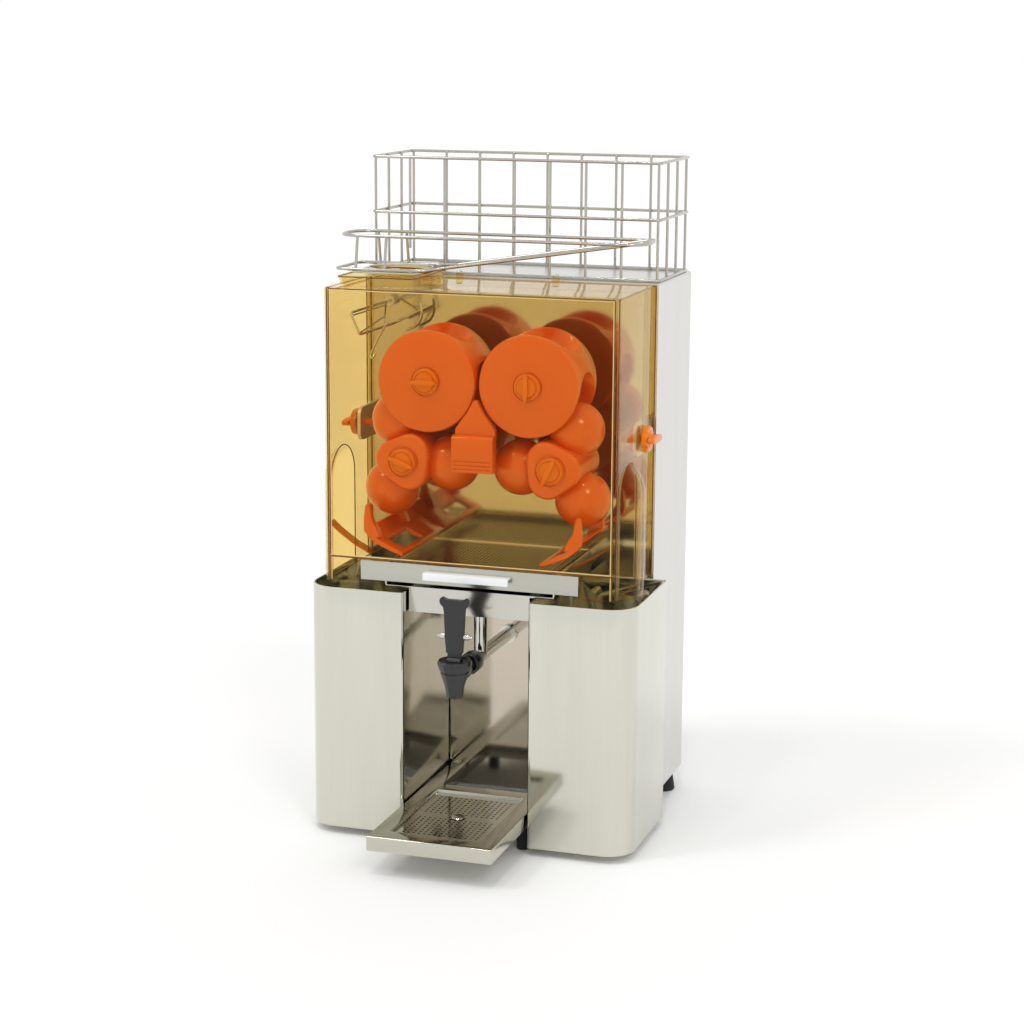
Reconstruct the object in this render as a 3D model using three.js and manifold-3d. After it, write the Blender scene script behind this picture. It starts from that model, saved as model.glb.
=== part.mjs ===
// Counter-top automatic orange juicer, free standing, millimetres.
// X is the viewer's right, Y goes to the back, Z is up and the counter is z = 0.
import * as THREE from 'three';
import { mergeVertices } from 'three/addons/utils/BufferGeometryUtils.js';
import Module from 'manifold-3d';

const wasm = await Module();
wasm.setup();

// Driving dimensions
const overrun = 1;
const weld = 0.5;
const mergeShare = 0.02;
const seatGap = 0.3;
const runGap = 0.02;
const runSides = 32;
const seatSides = 12;
const casing = { width: 364, depth: 160, height: 637, sheet: 2, cornerRadius: 4 };
const reach = { tray: 292, chamber: 155, bins: 167 };
const foot = { height: 22, radius: 16, topRadius: 13, insetX: 17, insetY: 30 };
const gland = { length: 12, radius: 9, nutRadius: 13, nutLength: 5, hole: 4.5, x: 120, z: 60 };
const bulkhead = { thickness: 4 };
const vents = { columns: 2, rows: 8, width: 100, height: 6, pitchX: 130, pitchZ: 16, top: 560 };
const drum = { radius: 60, length: 82, setBack: 28, upperSpread: 62, upperHeight: 527, spreadGain: 28,
  drop: 96 };
const dome = { radius: 33, centre: 47.5, peelGap: 5, phase: -6 };
const core = { side: 30, corner: 36.5, cornerRadius: 14 };
const shaft = { radius: 9 };
const lockKnob = { radius: 15.5, thickness: 7, barLength: 33, barWidth: 6.5, barHeight: 5 };
const lockTilts = [0, 90, -20, 65];
const bearing = { spigot: 14, flange: 23, flangeThickness: 12, plate: 5, margin: 7 };
const gears = {
  teeth: 25, idlerTeeth: 10, width: 14, gapBehindBulkhead: 20,
  addendumShare: 0.72, dedendumShare: 1.05, tipShare: 0.24, rootShare: 0.62,
};
const gearPlate = { thickness: 5, gap: 6, side: 20, top: 12, bottom: 360, postRadius: 6, postInset: 10 };
const gearbox = { size: 88, length: 40, cornerRadius: 8 };
const motor = { radius: 41, length: 58, ribRadius: 44, ribLength: 8 };
const controlBox = { width: 110, depth: 60, height: 90, x: 95, z: 40, cornerRadius: 6 };
const rocker = { width: 22, height: 30, frame: 3, depth: 9, proud: 3, x: 60, z: 60, waistShare: 0.55 };
const cover = { inset: 4, height: 347.5, wall: 4, frontRadius: 6, flange: 8, topGap: 1 };
const coverCut = { halfWidth: 135, height: 28 };
const blister = { radius: 40, apex: 154, proud: 17.5, setBack: 53 };
const collar = { side: 60, halfWidth: 42, flare: 6, height: 11, setBack: 20, depth: 120, wall: 3 };
const feedHole = { radius: 37, side: 64, setBack: 97 };
const feedRing = { wall: 2, lip: 3, plate: 2, margin: 6, tab: 34 };
const stud = { radius: 4.5, height: 7, spread: 60, inset: 12 };
const notch = { radius: 5.2, height: 460, setBack: 115, knobHalf: 20 };
const clampKnob = { radius: 16, thickness: 9, barLength: 37, barWidth: 9, barHeight: 8, stemRadius: 4.8 };
const tabs = { height: 40, thickness: 4 };
const basket = {
  inset: 1, front: 11, back: 149, height: 141, midHeight: 73, ringRadius: 2, postRadius: 1.7,
  bays: 8, sideBays: 3, cross: 1.1, shortPost: 1, shortHeight: 30,
};
const rails = {
  radius: 2, half: 34, height: 53, leftOver: 5, rightOver: 7, trackHalf: 41, trackNeck: 22, neckX: 62,
  frontPost: 41, rearPost: 5, postShare: 0.9,
};
const bin = { inner: 76.5, outer: 200, bottom: 10, top: 305, wall: 2, outerRadius: 34, innerRadius: 5,
  floor: 2 };
const binPin = { radius: 4, length: 14, inset: 32, edge: 14, drop: 22 };
const housing = { halfWidth: 74, bottom: 258, shelfHalf: 104, shelfBottom: 286, wall: 2, top: 314 };
const drawer = { frontHalf: 133, bottom: 293, top: 316, plate: 3, panHalf: 99, panTop: 313, wall: 2,
  backGap: 8 };
const filter = { thickness: 2, slot: 3, length: 52, columns: 3, rows: 12, pitchX: 60, pitchY: 10.5, lip: 3 };
const pull = { halfWidth: 52, height: 9, depth: 12, thickness: 2.5 };
const pipe = { radius: 8, bore: 6, height: 200, branch: 47, setBack: 16, collar: 11, collarLength: 6 };
const tap = {
  axis: 46, rise: 18, drop: 26, bodyRadius: 20, capHeight: 10, spoutRadius: 9, coneShare: 0.86,
  nutRadius: 13, nutFront: 14, nutRear: 7, neckRadius: 9, shoulder: 6, bore: 6.5,
};
const lever = { rise: 92, pivotRise: 16, width: 36, waist: 20, thickness: 7, hub: 6, hubHalf: 8, neck: 10,
  slot: 13 };
const drip = { halfWidth: 75, height: 17.5, bottom: 10, wall: 1.5, armWidth: 20, pan: 161, rim: 20,
  frontRim: 24, floor: 2 };
const dripGrid = {
  thickness: 1.5, slotWidth: 4, slotLength: 40, rows: 8, pitchY: 8.5, gap: 0.6, dimple: 9, dimpleHeight: 1.2,
    rest: 4,
};
const trayFoot = { radius: 9, setBack: 13 };
const knife = {
  halfWidth: 25, thickness: 15, gap: 1, bottom: 426, plateRise: 30, neckHalf: 10, neckRise: 82, tipHalf: 5,
    rise: 96,
  spine: 7, spineRise: 48, blade: 1.5, bladeRise: 80, groove: 1.5, grooves: 3, groovePitch: 5,
};
const fork = {
  root: 84, bend: 118, outer: 133, bottom: 321, bendRise: 14, edgeRise: 31, thickness: 5, frontGap: 9,
  prong: 10, prongRise: 61, prongTip: 5, prongDepth: 10, domeGap: 1, windowInset: 6, windowWidth: 22,
    windowGap: 10,
};
const deflector = {
  inset: 2, bend: 28, inner: 54, bottom: 323, bendRise: 14, outerRise: 33, thickness: 3, depth: 15,
};
const gate = {
  wire: 1.6, side: 32, pivotZ: 605, barIn: 13, barDrop: 25, frontGap: 16, fingerOut: 10, fingerDrop: 57,
  armIn: 46, armDrop: 7, bossRadius: 6, bossLength: 10,
};

// Places worked out from the driving dimensions
const rearEnd = (reach.tray + casing.depth + gland.length) / 2;
const casingRear = rearEnd - gland.length;
const face = casingRear - casing.depth;
const coverFront = face - reach.chamber;
const binFront = face - reach.bins;
const trayFront = face - reach.tray;
const floorZ = foot.height;
const casingTop = floorZ + casing.height;
const bulkheadBack = face + bulkhead.thickness;
const coverBack = face - seatGap;
const coverTop = casingTop - cover.topGap;
const coverBottom = coverTop - cover.height;
const coverHalf = casing.width / 2 - cover.inset;
const drumFront = coverFront + drum.setBack;
const drumBack = drumFront + drum.length;
const drumMid = (drumFront + drumBack) / 2;
const upperZ = floorZ + drum.upperHeight;
const lowerZ = upperZ - drum.drop;
const lowerSpread = drum.upperSpread + drum.spreadGain;
const axisDistance = Math.hypot(drum.spreadGain, drum.drop);
const gearFront = bulkheadBack + gears.gapBehindBulkhead;
const gearBack = gearFront + gears.width;
const plateFront = gearBack + gearPlate.gap;
const plateBack = plateFront + gearPlate.thickness;
const gearRadius = axisDistance / 2;
const toothModule = axisDistance / gears.teeth;
const idlerRadius = toothModule * gears.idlerTeeth / 2;
const idlerRise = Math.sqrt((gearRadius + idlerRadius) ** 2 - (drum.upperSpread - idlerRadius) ** 2);
const idlerZ = upperZ + idlerRise;
const feedX = feedHole.side - casing.width / 2;
const collarX = casing.width / 2 - collar.side;
const gateX = casing.width / 2 - gate.side;
const feedY = coverFront + feedHole.setBack;

// Finishes
const steel = { color: 0xd2d0c6, roughness: 0.32, metalness: 0.9 };
const mirror = { color: 0xc9c8c2, roughness: 0.12, metalness: 1 };
const wireSteel = { color: 0xc4c3ba, roughness: 0.3, metalness: 0.95 };
const orange = { color: 0xd8611c, roughness: 0.42, metalness: 0 };
const knobOrange = { color: 0xef8a12, roughness: 0.38, metalness: 0 };
const amber = { color: 0xd79a3a, roughness: 0.1, metalness: 0 };
const black = { color: 0x2c2c2f, roughness: 0.45, metalness: 0 };
const rubber = { color: 0x1c1c1c, roughness: 0.85, metalness: 0 };
const castIron = { color: 0x6f7478, roughness: 0.55, metalness: 0.6 };
const gearSteel = { color: 0x8d9094, roughness: 0.4, metalness: 0.9 };
const greyPlastic = { color: 0x9fa3a6, roughness: 0.6, metalness: 0 };
const clearWhite = { color: 0xe9e9e6, roughness: 0.25, metalness: 0 };

const model = new THREE.Group();

// Geometry helpers
const vec = (x, y, z) => new THREE.Vector3(x, y, z);

function weldTolerance() {
  return weld * mergeShare;
}

function solid(geometry) {
  const bare = geometry.clone();
  bare.deleteAttribute('normal');
  bare.deleteAttribute('uv');
  const merged = mergeVertices(bare, weldTolerance());
  const points = merged.attributes.position.array;
  const kept = [];
  let volume = 0;
  for (let i = 0; i < merged.index.count; i += 3) {
    const [a, b, c] = [0, 1, 2].map((k) => merged.index.array[i + k]);
    if (a === b || b === c || c === a) continue;
    kept.push(a, b, c);
    const [p, q, r] = [a, b, c].map((k) => vec(points[3 * k], points[3 * k + 1], points[3 * k + 2]));
    volume += p.dot(q.cross(r));
  }
  if (volume < 0) {
    for (let i = 0; i < kept.length; i += 3) [kept[i], kept[i + 1]] = [kept[i + 1], kept[i]];
  }
  const mesh = new wasm.Mesh({
    numProp: 3,
    vertProperties: new Float32Array(points),
    triVerts: new Uint32Array(kept),
  });
  return new wasm.Manifold(mesh);
}

function geometryOf(manifold) {
  const mesh = manifold.getMesh();
  const geometry = new THREE.BufferGeometry();
  geometry.setAttribute('position', new THREE.BufferAttribute(new Float32Array(mesh.vertProperties), 3));
  geometry.setIndex(new THREE.BufferAttribute(new Uint32Array(mesh.triVerts), 1));
  geometry.computeVertexNormals();
  return geometry;
}

const joined = (pieces) => pieces.reduce((whole, piece) => whole.add(piece));
const without = (body, cutters) => cutters.reduce((rest, cutter) => rest.subtract(cutter), body);

function addPart(name, finish, body) {
  const mesh = new THREE.Mesh(geometryOf(body), new THREE.MeshStandardMaterial(finish));
  mesh.name = name;
  model.add(mesh);
}

// A shape drawn in the plane across an axis and pushed along it
function prism(shape, from, to, axis = 'z', segments = 5) {
  const options = { depth: to - from, bevelEnabled: false, curveSegments: segments };
  const geometry = new THREE.ExtrudeGeometry(shape, options);
  const turn = new THREE.Matrix4();
  if (axis === 'y') {
    geometry.translate(0, 0, -to);
    turn.makeBasis(vec(1, 0, 0), vec(0, 0, 1), vec(0, -1, 0));
  } else {
    geometry.translate(0, 0, from);
    if (axis === 'x') turn.makeBasis(vec(0, 1, 0), vec(0, 0, 1), vec(1, 0, 0));
  }
  geometry.applyMatrix4(turn);
  return solid(geometry);
}

function box(x0, x1, y0, y1, z0, z1) {
  const geometry = new THREE.BoxGeometry(x1 - x0, y1 - y0, z1 - z0);
  geometry.translate((x0 + x1) / 2, (y0 + y1) / 2, (z0 + z1) / 2);
  return solid(geometry);
}

function rod(from, to, radius, sides = 6, endRadius = radius) {
  const along = to.clone().sub(from);
  const geometry = new THREE.CylinderGeometry(endRadius, radius, along.length(), sides);
  const turn = new THREE.Quaternion().setFromUnitVectors(vec(0, 1, 0), along.clone().normalize());
  geometry.applyQuaternion(turn);
  const middle = from.clone().add(to).divideScalar(2);
  geometry.translate(middle.x, middle.y, middle.z);
  return solid(geometry);
}

const rodY = (x, z, y0, y1, radius, sides = 18) => rod(vec(x, y0, z), vec(x, y1, z), radius, sides);
const rodZ = (x, y, z0, z1, radius, sides = 18) => rod(vec(x, y, z0), vec(x, y, z1), radius, sides);
const rodX = (y, z, x0, x1, radius, sides = 18) => rod(vec(x0, y, z), vec(x1, y, z), radius, sides);

// Round hole that a shaft of the given radius turns in
const runRadius = (radius) => (radius + runGap) / Math.cos(Math.PI / runSides);
const runBore = (x, z, y0, y1, radius) => rodY(x, z, y0, y1, runRadius(radius), runSides);

// Hole for a shaft that is fixed in it
const seatBore = (x, z, y0, y1, radius) => rodY(x, z, y0, y1,
  (radius + runGap) / Math.cos(Math.PI / seatSides), seatSides);

function ball(x, y, z, radius, around, rings) {
  const geometry = new THREE.SphereGeometry(radius, around, rings);
  geometry.translate(x, y, z);
  return solid(geometry);
}

// Rectangle with its own radius at each corner: near left, near right, far right, far left
function rounded(x0, y0, x1, y1, radii) {
  const [a, b, c, d] = Array.isArray(radii) ? radii : [radii, radii, radii, radii];
  const shape = new THREE.Shape();
  shape.moveTo(x0 + a, y0);
  shape.lineTo(x1 - b, y0);
  if (b > 0) shape.absarc(x1 - b, y0 + b, b, -Math.PI / 2, 0);
  shape.lineTo(x1, y1 - c);
  if (c > 0) shape.absarc(x1 - c, y1 - c, c, 0, Math.PI / 2);
  shape.lineTo(x0 + d, y1);
  if (d > 0) shape.absarc(x0 + d, y1 - d, d, Math.PI / 2, Math.PI);
  shape.lineTo(x0, y0 + a);
  if (a > 0) shape.absarc(x0 + a, y0 + a, a, Math.PI, Math.PI * 1.5);
  return shape;
}

function polygon(points) {
  const shape = new THREE.Shape();
  points.forEach(([u, v], i) => (i ? shape.lineTo(u, v) : shape.moveTo(u, v)));
  return shape;
}

// Long handle with cut corners, turned about its middle
function handle(x, z, length, width, tilt) {
  const [l, w] = [length / 2, width / 2];
  const cut = w / 2;
  const turn = THREE.MathUtils.degToRad(tilt);
  const points = [[-l + cut, -w], [l - cut, -w], [l, -w + cut], [l, w - cut], [l - cut, w], [-l + cut, w],
    [-l, w - cut], [-l, -w + cut]];
  return polygon(points.map(([u, v]) => [
    x + u * Math.cos(turn) - v * Math.sin(turn), z + u * Math.sin(turn) + v * Math.cos(turn),
  ]));
}

// Wire of square section around a rectangle with cut corners, seen from above
function wireRing(x0, y0, x1, y1, cut, radius) {
  const corners = (grow) => [[x0 - grow + cut, y0 - grow], [x1 + grow - cut, y0 - grow], [x1 + grow,
    y0 - grow + cut],
    [x1 + grow, y1 + grow - cut], [x1 + grow - cut, y1 + grow], [x0 - grow + cut, y1 + grow],
    [x0 - grow, y1 + grow - cut], [x0 - grow, y0 - grow + cut]];
  const shape = polygon(corners(radius));
  shape.holes.push(polygon(corners(-radius)));
  return shape;
}

function wirePath(points, radius, sides = 6) {
  const legs = [];
  for (let i = 1; i < points.length; i += 1) {
    const step = points[i].clone().sub(points[i - 1]).normalize().multiplyScalar(radius / 2);
    legs.push(rod(points[i - 1].clone().sub(step), points[i].clone().add(step), radius, sides));
  }
  return joined(legs);
}

// Body: casing, base, bulkhead, rear cover and feet
function makeCasing() {
  const half = casing.width / 2;
  const outer = rounded(-half, floorZ, half, casingTop, casing.cornerRadius);
  const inset = casing.sheet;
  const inner = rounded(-half + inset, floorZ + inset, half - inset, casingTop - inset,
    casing.cornerRadius - inset);
  const wrap = prism(outer, face, casingRear - casing.sheet, 'y', 2);
  const hollow = prism(inner, face - overrun, casingRear - casing.sheet + overrun, 'y', 2);
  addPart('casing_shell', steel, wrap.subtract(hollow));
}

const drumAxes = [
  { name: 'upper_left', x: -drum.upperSpread, z: upperZ, spin: 1 },
  { name: 'upper_right', x: drum.upperSpread, z: upperZ, spin: -1 },
  { name: 'lower_left', x: -lowerSpread, z: lowerZ, spin: -1 },
  { name: 'lower_right', x: lowerSpread, z: lowerZ, spin: 1 },
];

function makeBulkhead() {
  const half = casing.width / 2 - casing.sheet - seatGap;
  const top = casingTop - casing.sheet - seatGap;
  const sheet = prism(rounded(-half, floorZ + casing.sheet + seatGap, half, top, casing.cornerRadius), face,
    bulkheadBack, 'y', 2);
  const holes = drumAxes.map(({ x, z }) => rodY(x, z, face - overrun, bulkheadBack + overrun,
    bearing.spigot + seatGap * 2, 16));
  const pivot = rodY(-gateX, floorZ + gate.pivotZ, face - gate.bossLength, face + weld,
    gate.bossRadius, 16);
  const socket = rodY(-gateX, floorZ + gate.pivotZ, face - gate.bossLength - overrun, bulkheadBack,
    gate.wire + seatGap, 12);
  const hooks = [-1, 1].flatMap((side) => binPinPlaces(side).map((x) => rodY(x, bin.top - binPin.drop,
    face - binPin.length, face + weld, binPin.radius, 10)));
  addPart('bulkhead', mirror, without(joined([sheet, pivot, clampTab(-1), clampTab(1), ...hooks]), [...holes,
    socket]));
}

function makeRearCover() {
  const half = casing.width / 2;
  const panelFront = casingRear - casing.sheet;
  const panel = prism(rounded(-half, floorZ, half, casingTop, casing.cornerRadius), panelFront, casingRear,
    'y', 2);
  const cutters = [];
  for (let column = 0; column < vents.columns; column += 1) {
    for (let row = 0; row < vents.rows; row += 1) {
      const x = (column - (vents.columns - 1) / 2) * vents.pitchX;
      const z = vents.top - row * vents.pitchZ;
      cutters.push(box(x - vents.width / 2, x + vents.width / 2, panelFront - overrun, casingRear + overrun,
        z, z + vents.height));
    }
  }
  cutters.push(rodY(gland.x, gland.z, panelFront - overrun, casingRear + overrun, gland.radius + seatGap, 12));
  const w = rocker.width / 2 + seatGap;
  const h = rocker.height / 2 + seatGap;
  cutters.push(box(rocker.x - w, rocker.x + w, panelFront - overrun, casingRear + overrun, rocker.z - h,
    rocker.z + h));
  addPart('rear_cover', steel, without(panel, cutters));
}

function makeGland() {
  const inside = casingRear - casing.sheet - gland.nutLength;
  const body = rodY(gland.x, gland.z, inside, rearEnd, gland.radius, 12);
  const nut = rodY(gland.x, gland.z, casingRear + seatGap, casingRear + gland.nutLength, gland.nutRadius, 6);
  const lock = rodY(gland.x, gland.z, inside, casingRear - casing.sheet - seatGap, gland.nutRadius, 6);
  const hole = rodY(gland.x, gland.z, inside - overrun, rearEnd + overrun, gland.hole, 12);
  addPart('cable_gland', black, joined([body, nut, lock]).subtract(hole));
}

function makeSwitch() {
  const outerW = rocker.width / 2 + rocker.frame;
  const outerH = rocker.height / 2 + rocker.frame;
  const bodyBack = casingRear - casing.sheet - rocker.depth * 2;
  const w = rocker.width / 2;
  const h = rocker.height / 2;
  const bezel = box(rocker.x - outerW, rocker.x + outerW, casingRear + seatGap, casingRear + rocker.proud,
    rocker.z - outerH,
    rocker.z + outerH);
  const barrel = box(rocker.x - w, rocker.x + w, bodyBack, casingRear + rocker.proud, rocker.z - h,
    rocker.z + h);
  const wall = rocker.frame / 2;
  const pocket = box(rocker.x - w + wall, rocker.x + w - wall, casingRear - rocker.depth,
    casingRear + rocker.proud + overrun,
    rocker.z - h + wall, rocker.z + h - wall);
  addPart('switch_frame', black, joined([bezel, barrel]).subtract(pocket));
  const pivot = casingRear;
  const keyW = w - wall - seatGap;
  const keyH = h - wall - rocker.frame / 2;
  const outer = rocker.proud + rocker.frame;
  const side = polygon([
    [pivot - rocker.depth / 2, rocker.z - keyH * rocker.waistShare],
    [pivot + outer - rocker.frame, rocker.z - keyH],
    [pivot + outer / 2, rocker.z],
    [pivot + outer, rocker.z + keyH],
    [pivot - rocker.depth / 2, rocker.z + keyH * rocker.waistShare],
  ]);
  addPart('switch_key', rubber, prism(side, rocker.x - keyW, rocker.x + keyW, 'x'));
}

function makeFeet() {
  const sides = { left: -1, right: 1 };
  const rows = { front: face + foot.insetY, rear: casingRear - foot.insetY };
  for (const [side, sign] of Object.entries(sides)) {
    for (const [row, y] of Object.entries(rows)) {
      const x = sign * (casing.width / 2 - foot.insetX);
      const pad = rod(vec(x, y, 0), vec(x, y, foot.height), foot.topRadius, 16, foot.radius);
      addPart(`foot_${row}_${side}`, rubber, pad);
    }
  }
}

// Drive: bearings, shafts, gears, gear plate, gearbox, motor and control box
function makeCarrier() {
  const edge = bearing.flange + bearing.margin;
  const shape = rounded(-lowerSpread - edge, lowerZ - edge, lowerSpread + edge, upperZ + edge, edge);
  const plate = prism(shape, bulkheadBack, bulkheadBack + bearing.plate, 'y', 4);
  const bosses = drumAxes.flatMap(({ x, z }) => [
    rodY(x, z, face, bulkheadBack + overrun, bearing.spigot, 16),
    rodY(x, z, bulkheadBack, bulkheadBack + bearing.flangeThickness, bearing.flange, 16),
  ]);
  const bores = drumAxes.map(({ x, z }) => runBore(x, z, face - overrun, gearFront, shaft.radius));
  addPart('bearing_carrier', castIron, without(joined([plate, ...bosses]), bores));
}

function gearShape(teeth, x, z, phase) {
  const pitchRadius = toothModule * teeth / 2;
  const tip = pitchRadius + toothModule * gears.addendumShare;
  const root = pitchRadius - toothModule * gears.dedendumShare;
  const step = Math.PI * 2 / teeth;
  const points = [];
  for (let i = 0; i < teeth; i += 1) {
    const middle = i * step + THREE.MathUtils.degToRad(phase);
    const tipHalf = step * gears.tipShare / 2;
    const rootHalf = step * gears.rootShare / 2;
    const pairs = [[root, -rootHalf], [tip, -tipHalf], [tip, tipHalf], [root, rootHalf]];
    pairs.forEach(([radius, turn]) => points.push([x + radius * Math.cos(middle + turn),
      z + radius * Math.sin(middle + turn)]));
  }
  return polygon(points);
}

function makeGear(name, teeth, x, z, phase, makeBore = seatBore) {
  const wheel = prism(gearShape(teeth, x, z, phase), gearFront, gearBack, 'y');
  const bore = makeBore(x, z, gearFront - overrun, gearBack + overrun, shaft.radius);
  addPart(name, gearSteel, wheel.subtract(bore));
}

function makeShaft({ name, x, z }) {
  addPart(`${name}_shaft`, gearSteel, rodY(x, z, drumFront + seatGap, plateBack + seatGap, shaft.radius,
    runSides));
}

// Angle of a tooth, from +X towards +Z, that meshes with the gear before it in the train
function meshed(tooth, teeth, nextTeeth, towards) {
  const offset = (towards - tooth) * teeth / 360;
  const share = offset - Math.floor(offset);
  return towards + 180 + (share + 1 / 2) * 360 / nextTeeth;
}

function makeGears() {
  const degrees = 180 / Math.PI;
  const down = Math.atan2(-drum.drop, -drum.spreadGain) * degrees;
  const up = Math.atan2(idlerRise, drum.upperSpread - idlerRadius) * degrees;
  const upperLeft = 0;
  const lowerLeft = meshed(upperLeft, gears.teeth, gears.teeth, down);
  const pinion = meshed(upperLeft, gears.teeth, gears.idlerTeeth, up);
  const idler = meshed(pinion, gears.idlerTeeth, gears.idlerTeeth, 0);
  const upperRight = meshed(idler, gears.idlerTeeth, gears.teeth, -up);
  const lowerRight = meshed(upperRight, gears.teeth, gears.teeth, -180 - down);
  makeGear('upper_left_gear', gears.teeth, -drum.upperSpread, upperZ, upperLeft);
  makeGear('upper_right_gear', gears.teeth, drum.upperSpread, upperZ, upperRight);
  makeGear('lower_left_gear', gears.teeth, -lowerSpread, lowerZ, lowerLeft);
  makeGear('lower_right_gear', gears.teeth, lowerSpread, lowerZ, lowerRight);
  makeGear('idler_gear', gears.idlerTeeth, idlerRadius, idlerZ, idler, runBore);
  makePinion(pinion);
}

// The pinion is cut on the output shaft of the gearbox
function makePinion(phase) {
  const wheel = prism(gearShape(gears.idlerTeeth, -idlerRadius, idlerZ, phase), gearFront, gearBack, 'y');
  const spindle = rodY(-idlerRadius, idlerZ, gearFront - weld, plateBack + gearPlate.gap, shaft.radius, 16);
  addPart('drive_pinion', gearSteel, joined([wheel, spindle]));
}

function makeGearPlate() {
  const top = casingTop - casing.sheet - gearPlate.top;
  const half = casing.width / 2 - gearPlate.side;
  const shape = rounded(-half, gearPlate.bottom, half, top, gearPlate.postInset);
  const plate = prism(shape, plateFront, plateBack, 'y', 2);
  const postX = half - gearPlate.postInset;
  const places = [];
  for (const z of [top - gearPlate.postInset, gearPlate.bottom + gearPlate.postInset]) {
    for (const x of [-postX, 0, postX]) places.push([x, z]);
  }
  const posts = places.map(([x, z]) => rodY(x, z, bulkheadBack, plateFront + overrun, gearPlate.postRadius, 8));
  const clear = shaft.radius + seatGap * 2;
  const holes = drumAxes.map(({ x, z }) => rodY(x, z, plateFront - overrun, plateBack + overrun, clear, 12));
  holes.push(rodY(-idlerRadius, idlerZ, plateFront - overrun, plateBack + overrun, clear, 12));
  const idlerPin = rodY(idlerRadius, idlerZ, bulkheadBack + seatGap, plateFront + overrun, shaft.radius,
    runSides);
  addPart('gear_plate', castIron, without(joined([plate, idlerPin, ...posts]), holes));
}

function makeGearbox() {
  const half = gearbox.size / 2;
  const shape = rounded(-idlerRadius - half, idlerZ - half, -idlerRadius + half, idlerZ + half,
    gearbox.cornerRadius);
  const body = prism(shape, plateBack, plateBack + gearbox.length, 'y', 3);
  const socket = rodY(-idlerRadius, idlerZ, plateBack - overrun, plateBack + gearPlate.gap + seatGap,
    shaft.radius + seatGap * 2, 12);
  addPart('gearbox', castIron, body.subtract(socket));
}

function makeMotor() {
  const front = plateBack + gearbox.length;
  const x = -idlerRadius;
  const barrel = rodY(x, idlerZ, front, front + motor.length, motor.radius, 24);
  const ribs = [0, 1].map((end) => {
    const start = front + end * (motor.length - motor.ribLength);
    return rodY(x, idlerZ, start, start + motor.ribLength, motor.ribRadius, 24);
  });
  addPart('motor', castIron, joined([barrel, ...ribs]));
}

function makeControlBox() {
  const base = floorZ + casing.sheet;
  const half = controlBox.width / 2;
  const shape = rounded(-controlBox.x - half, base, -controlBox.x + half, base + controlBox.height,
    controlBox.cornerRadius);
  const back = casingRear - casing.sheet - controlBox.z;
  addPart('control_box', greyPlastic, prism(shape, back - controlBox.depth, back, 'y', 2));
}

// Squeezing drums: the pocketed upper pair and the domed lower pair
function pocketCutters(x, z, towards) {
  const cutters = [];
  const radius = dome.radius + dome.peelGap;
  const sweep = [-44, -22, 0, 22, 44];
  const pitch = axisDistance / 2;
  const pocketCentre = axisDistance - dome.centre;
  for (const degrees of sweep) {
    const roll = THREE.MathUtils.degToRad(degrees);
    // Dome centre seen from the pocket as both drums roll past each other
    const lift = 2 * pitch * (1 - Math.cos(roll));
    const slip = (pocketCentre - dome.centre) * Math.sin(roll);
    const radial = pocketCentre - slip * Math.sin(roll) + lift * Math.cos(roll);
    const across = -slip * Math.cos(roll) - lift * Math.sin(roll);
    const angle = towards + Math.atan2(across, radial);
    const distance = Math.hypot(radial, across);
    cutters.push(ball(x + distance * Math.cos(angle), drumMid, z + distance * Math.sin(angle), radius, 10, 6));
  }
  return cutters;
}

// Upper pockets face the lower domes when a dome points along the line of axes
function meshAngles(side) {
  const domePhase = THREE.MathUtils.degToRad(dome.phase);
  const lineUp = Math.atan2(drum.drop, drum.spreadGain);
  const lowerPhase = domePhase;
  const offset = lowerPhase - lineUp;
  const upperPhase = lineUp + Math.PI - offset;
  const mirrorOf = (angle) => (side < 0 ? angle : Math.PI - angle);
  const thirds = [0, 1, 2].map((i) => i * Math.PI * 2 / 3);
  return {
    domes: thirds.map((turn) => mirrorOf(lowerPhase + turn)),
    pockets: thirds.map((turn) => mirrorOf(upperPhase + turn)),
  };
}

function makeUpperDrum({ name, x, z }) {
  const body = rodY(x, z, drumFront, drumBack, drum.radius, 32);
  const pockets = meshAngles(Math.sign(x)).pockets.flatMap((towards) => pocketCutters(x, z, towards));
  const hollow = joined(pockets);
  const bore = seatBore(x, z, drumFront - overrun, drumBack + overrun, shaft.radius);
  addPart(`${name}_drum`, orange, body.subtract(hollow).subtract(bore));
}

function coreShape(x, z, domes) {
  const shape = new THREE.Shape();
  domes.forEach((domeAngle, i) => {
    const angle = domeAngle + Math.PI / 3;
    const centre = core.corner - core.cornerRadius;
    const cx = x + centre * Math.cos(angle);
    const cz = z + centre * Math.sin(angle);
    const spread = Math.PI / 3;
    if (i === 0) shape.moveTo(cx + core.cornerRadius * Math.cos(angle - spread),
      cz + core.cornerRadius * Math.sin(angle - spread));
    shape.absarc(cx, cz, core.cornerRadius, angle - spread, angle + spread);
  });
  return shape;
}

function makeLowerDrum({ name, x, z }) {
  const domes = meshAngles(Math.sign(x)).domes.sort((a, b) => a - b);
  const hub = prism(coreShape(x, z, domes), drumFront + seatGap, drumBack, 'y', 5);
  const barrel = rodY(x, z, drumFront + weld, drumBack - weld, core.side, 18);
  const eggs = domes.map((angle) => ball(
    x + dome.centre * Math.cos(angle), drumMid, z + dome.centre * Math.sin(angle), dome.radius, 12, 8));
  const bore = seatBore(x, z, drumFront - overrun, drumBack + overrun, shaft.radius);
  addPart(`${name}_drum`, orange, joined([hub, barrel, ...eggs]).subtract(bore));
}

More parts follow.
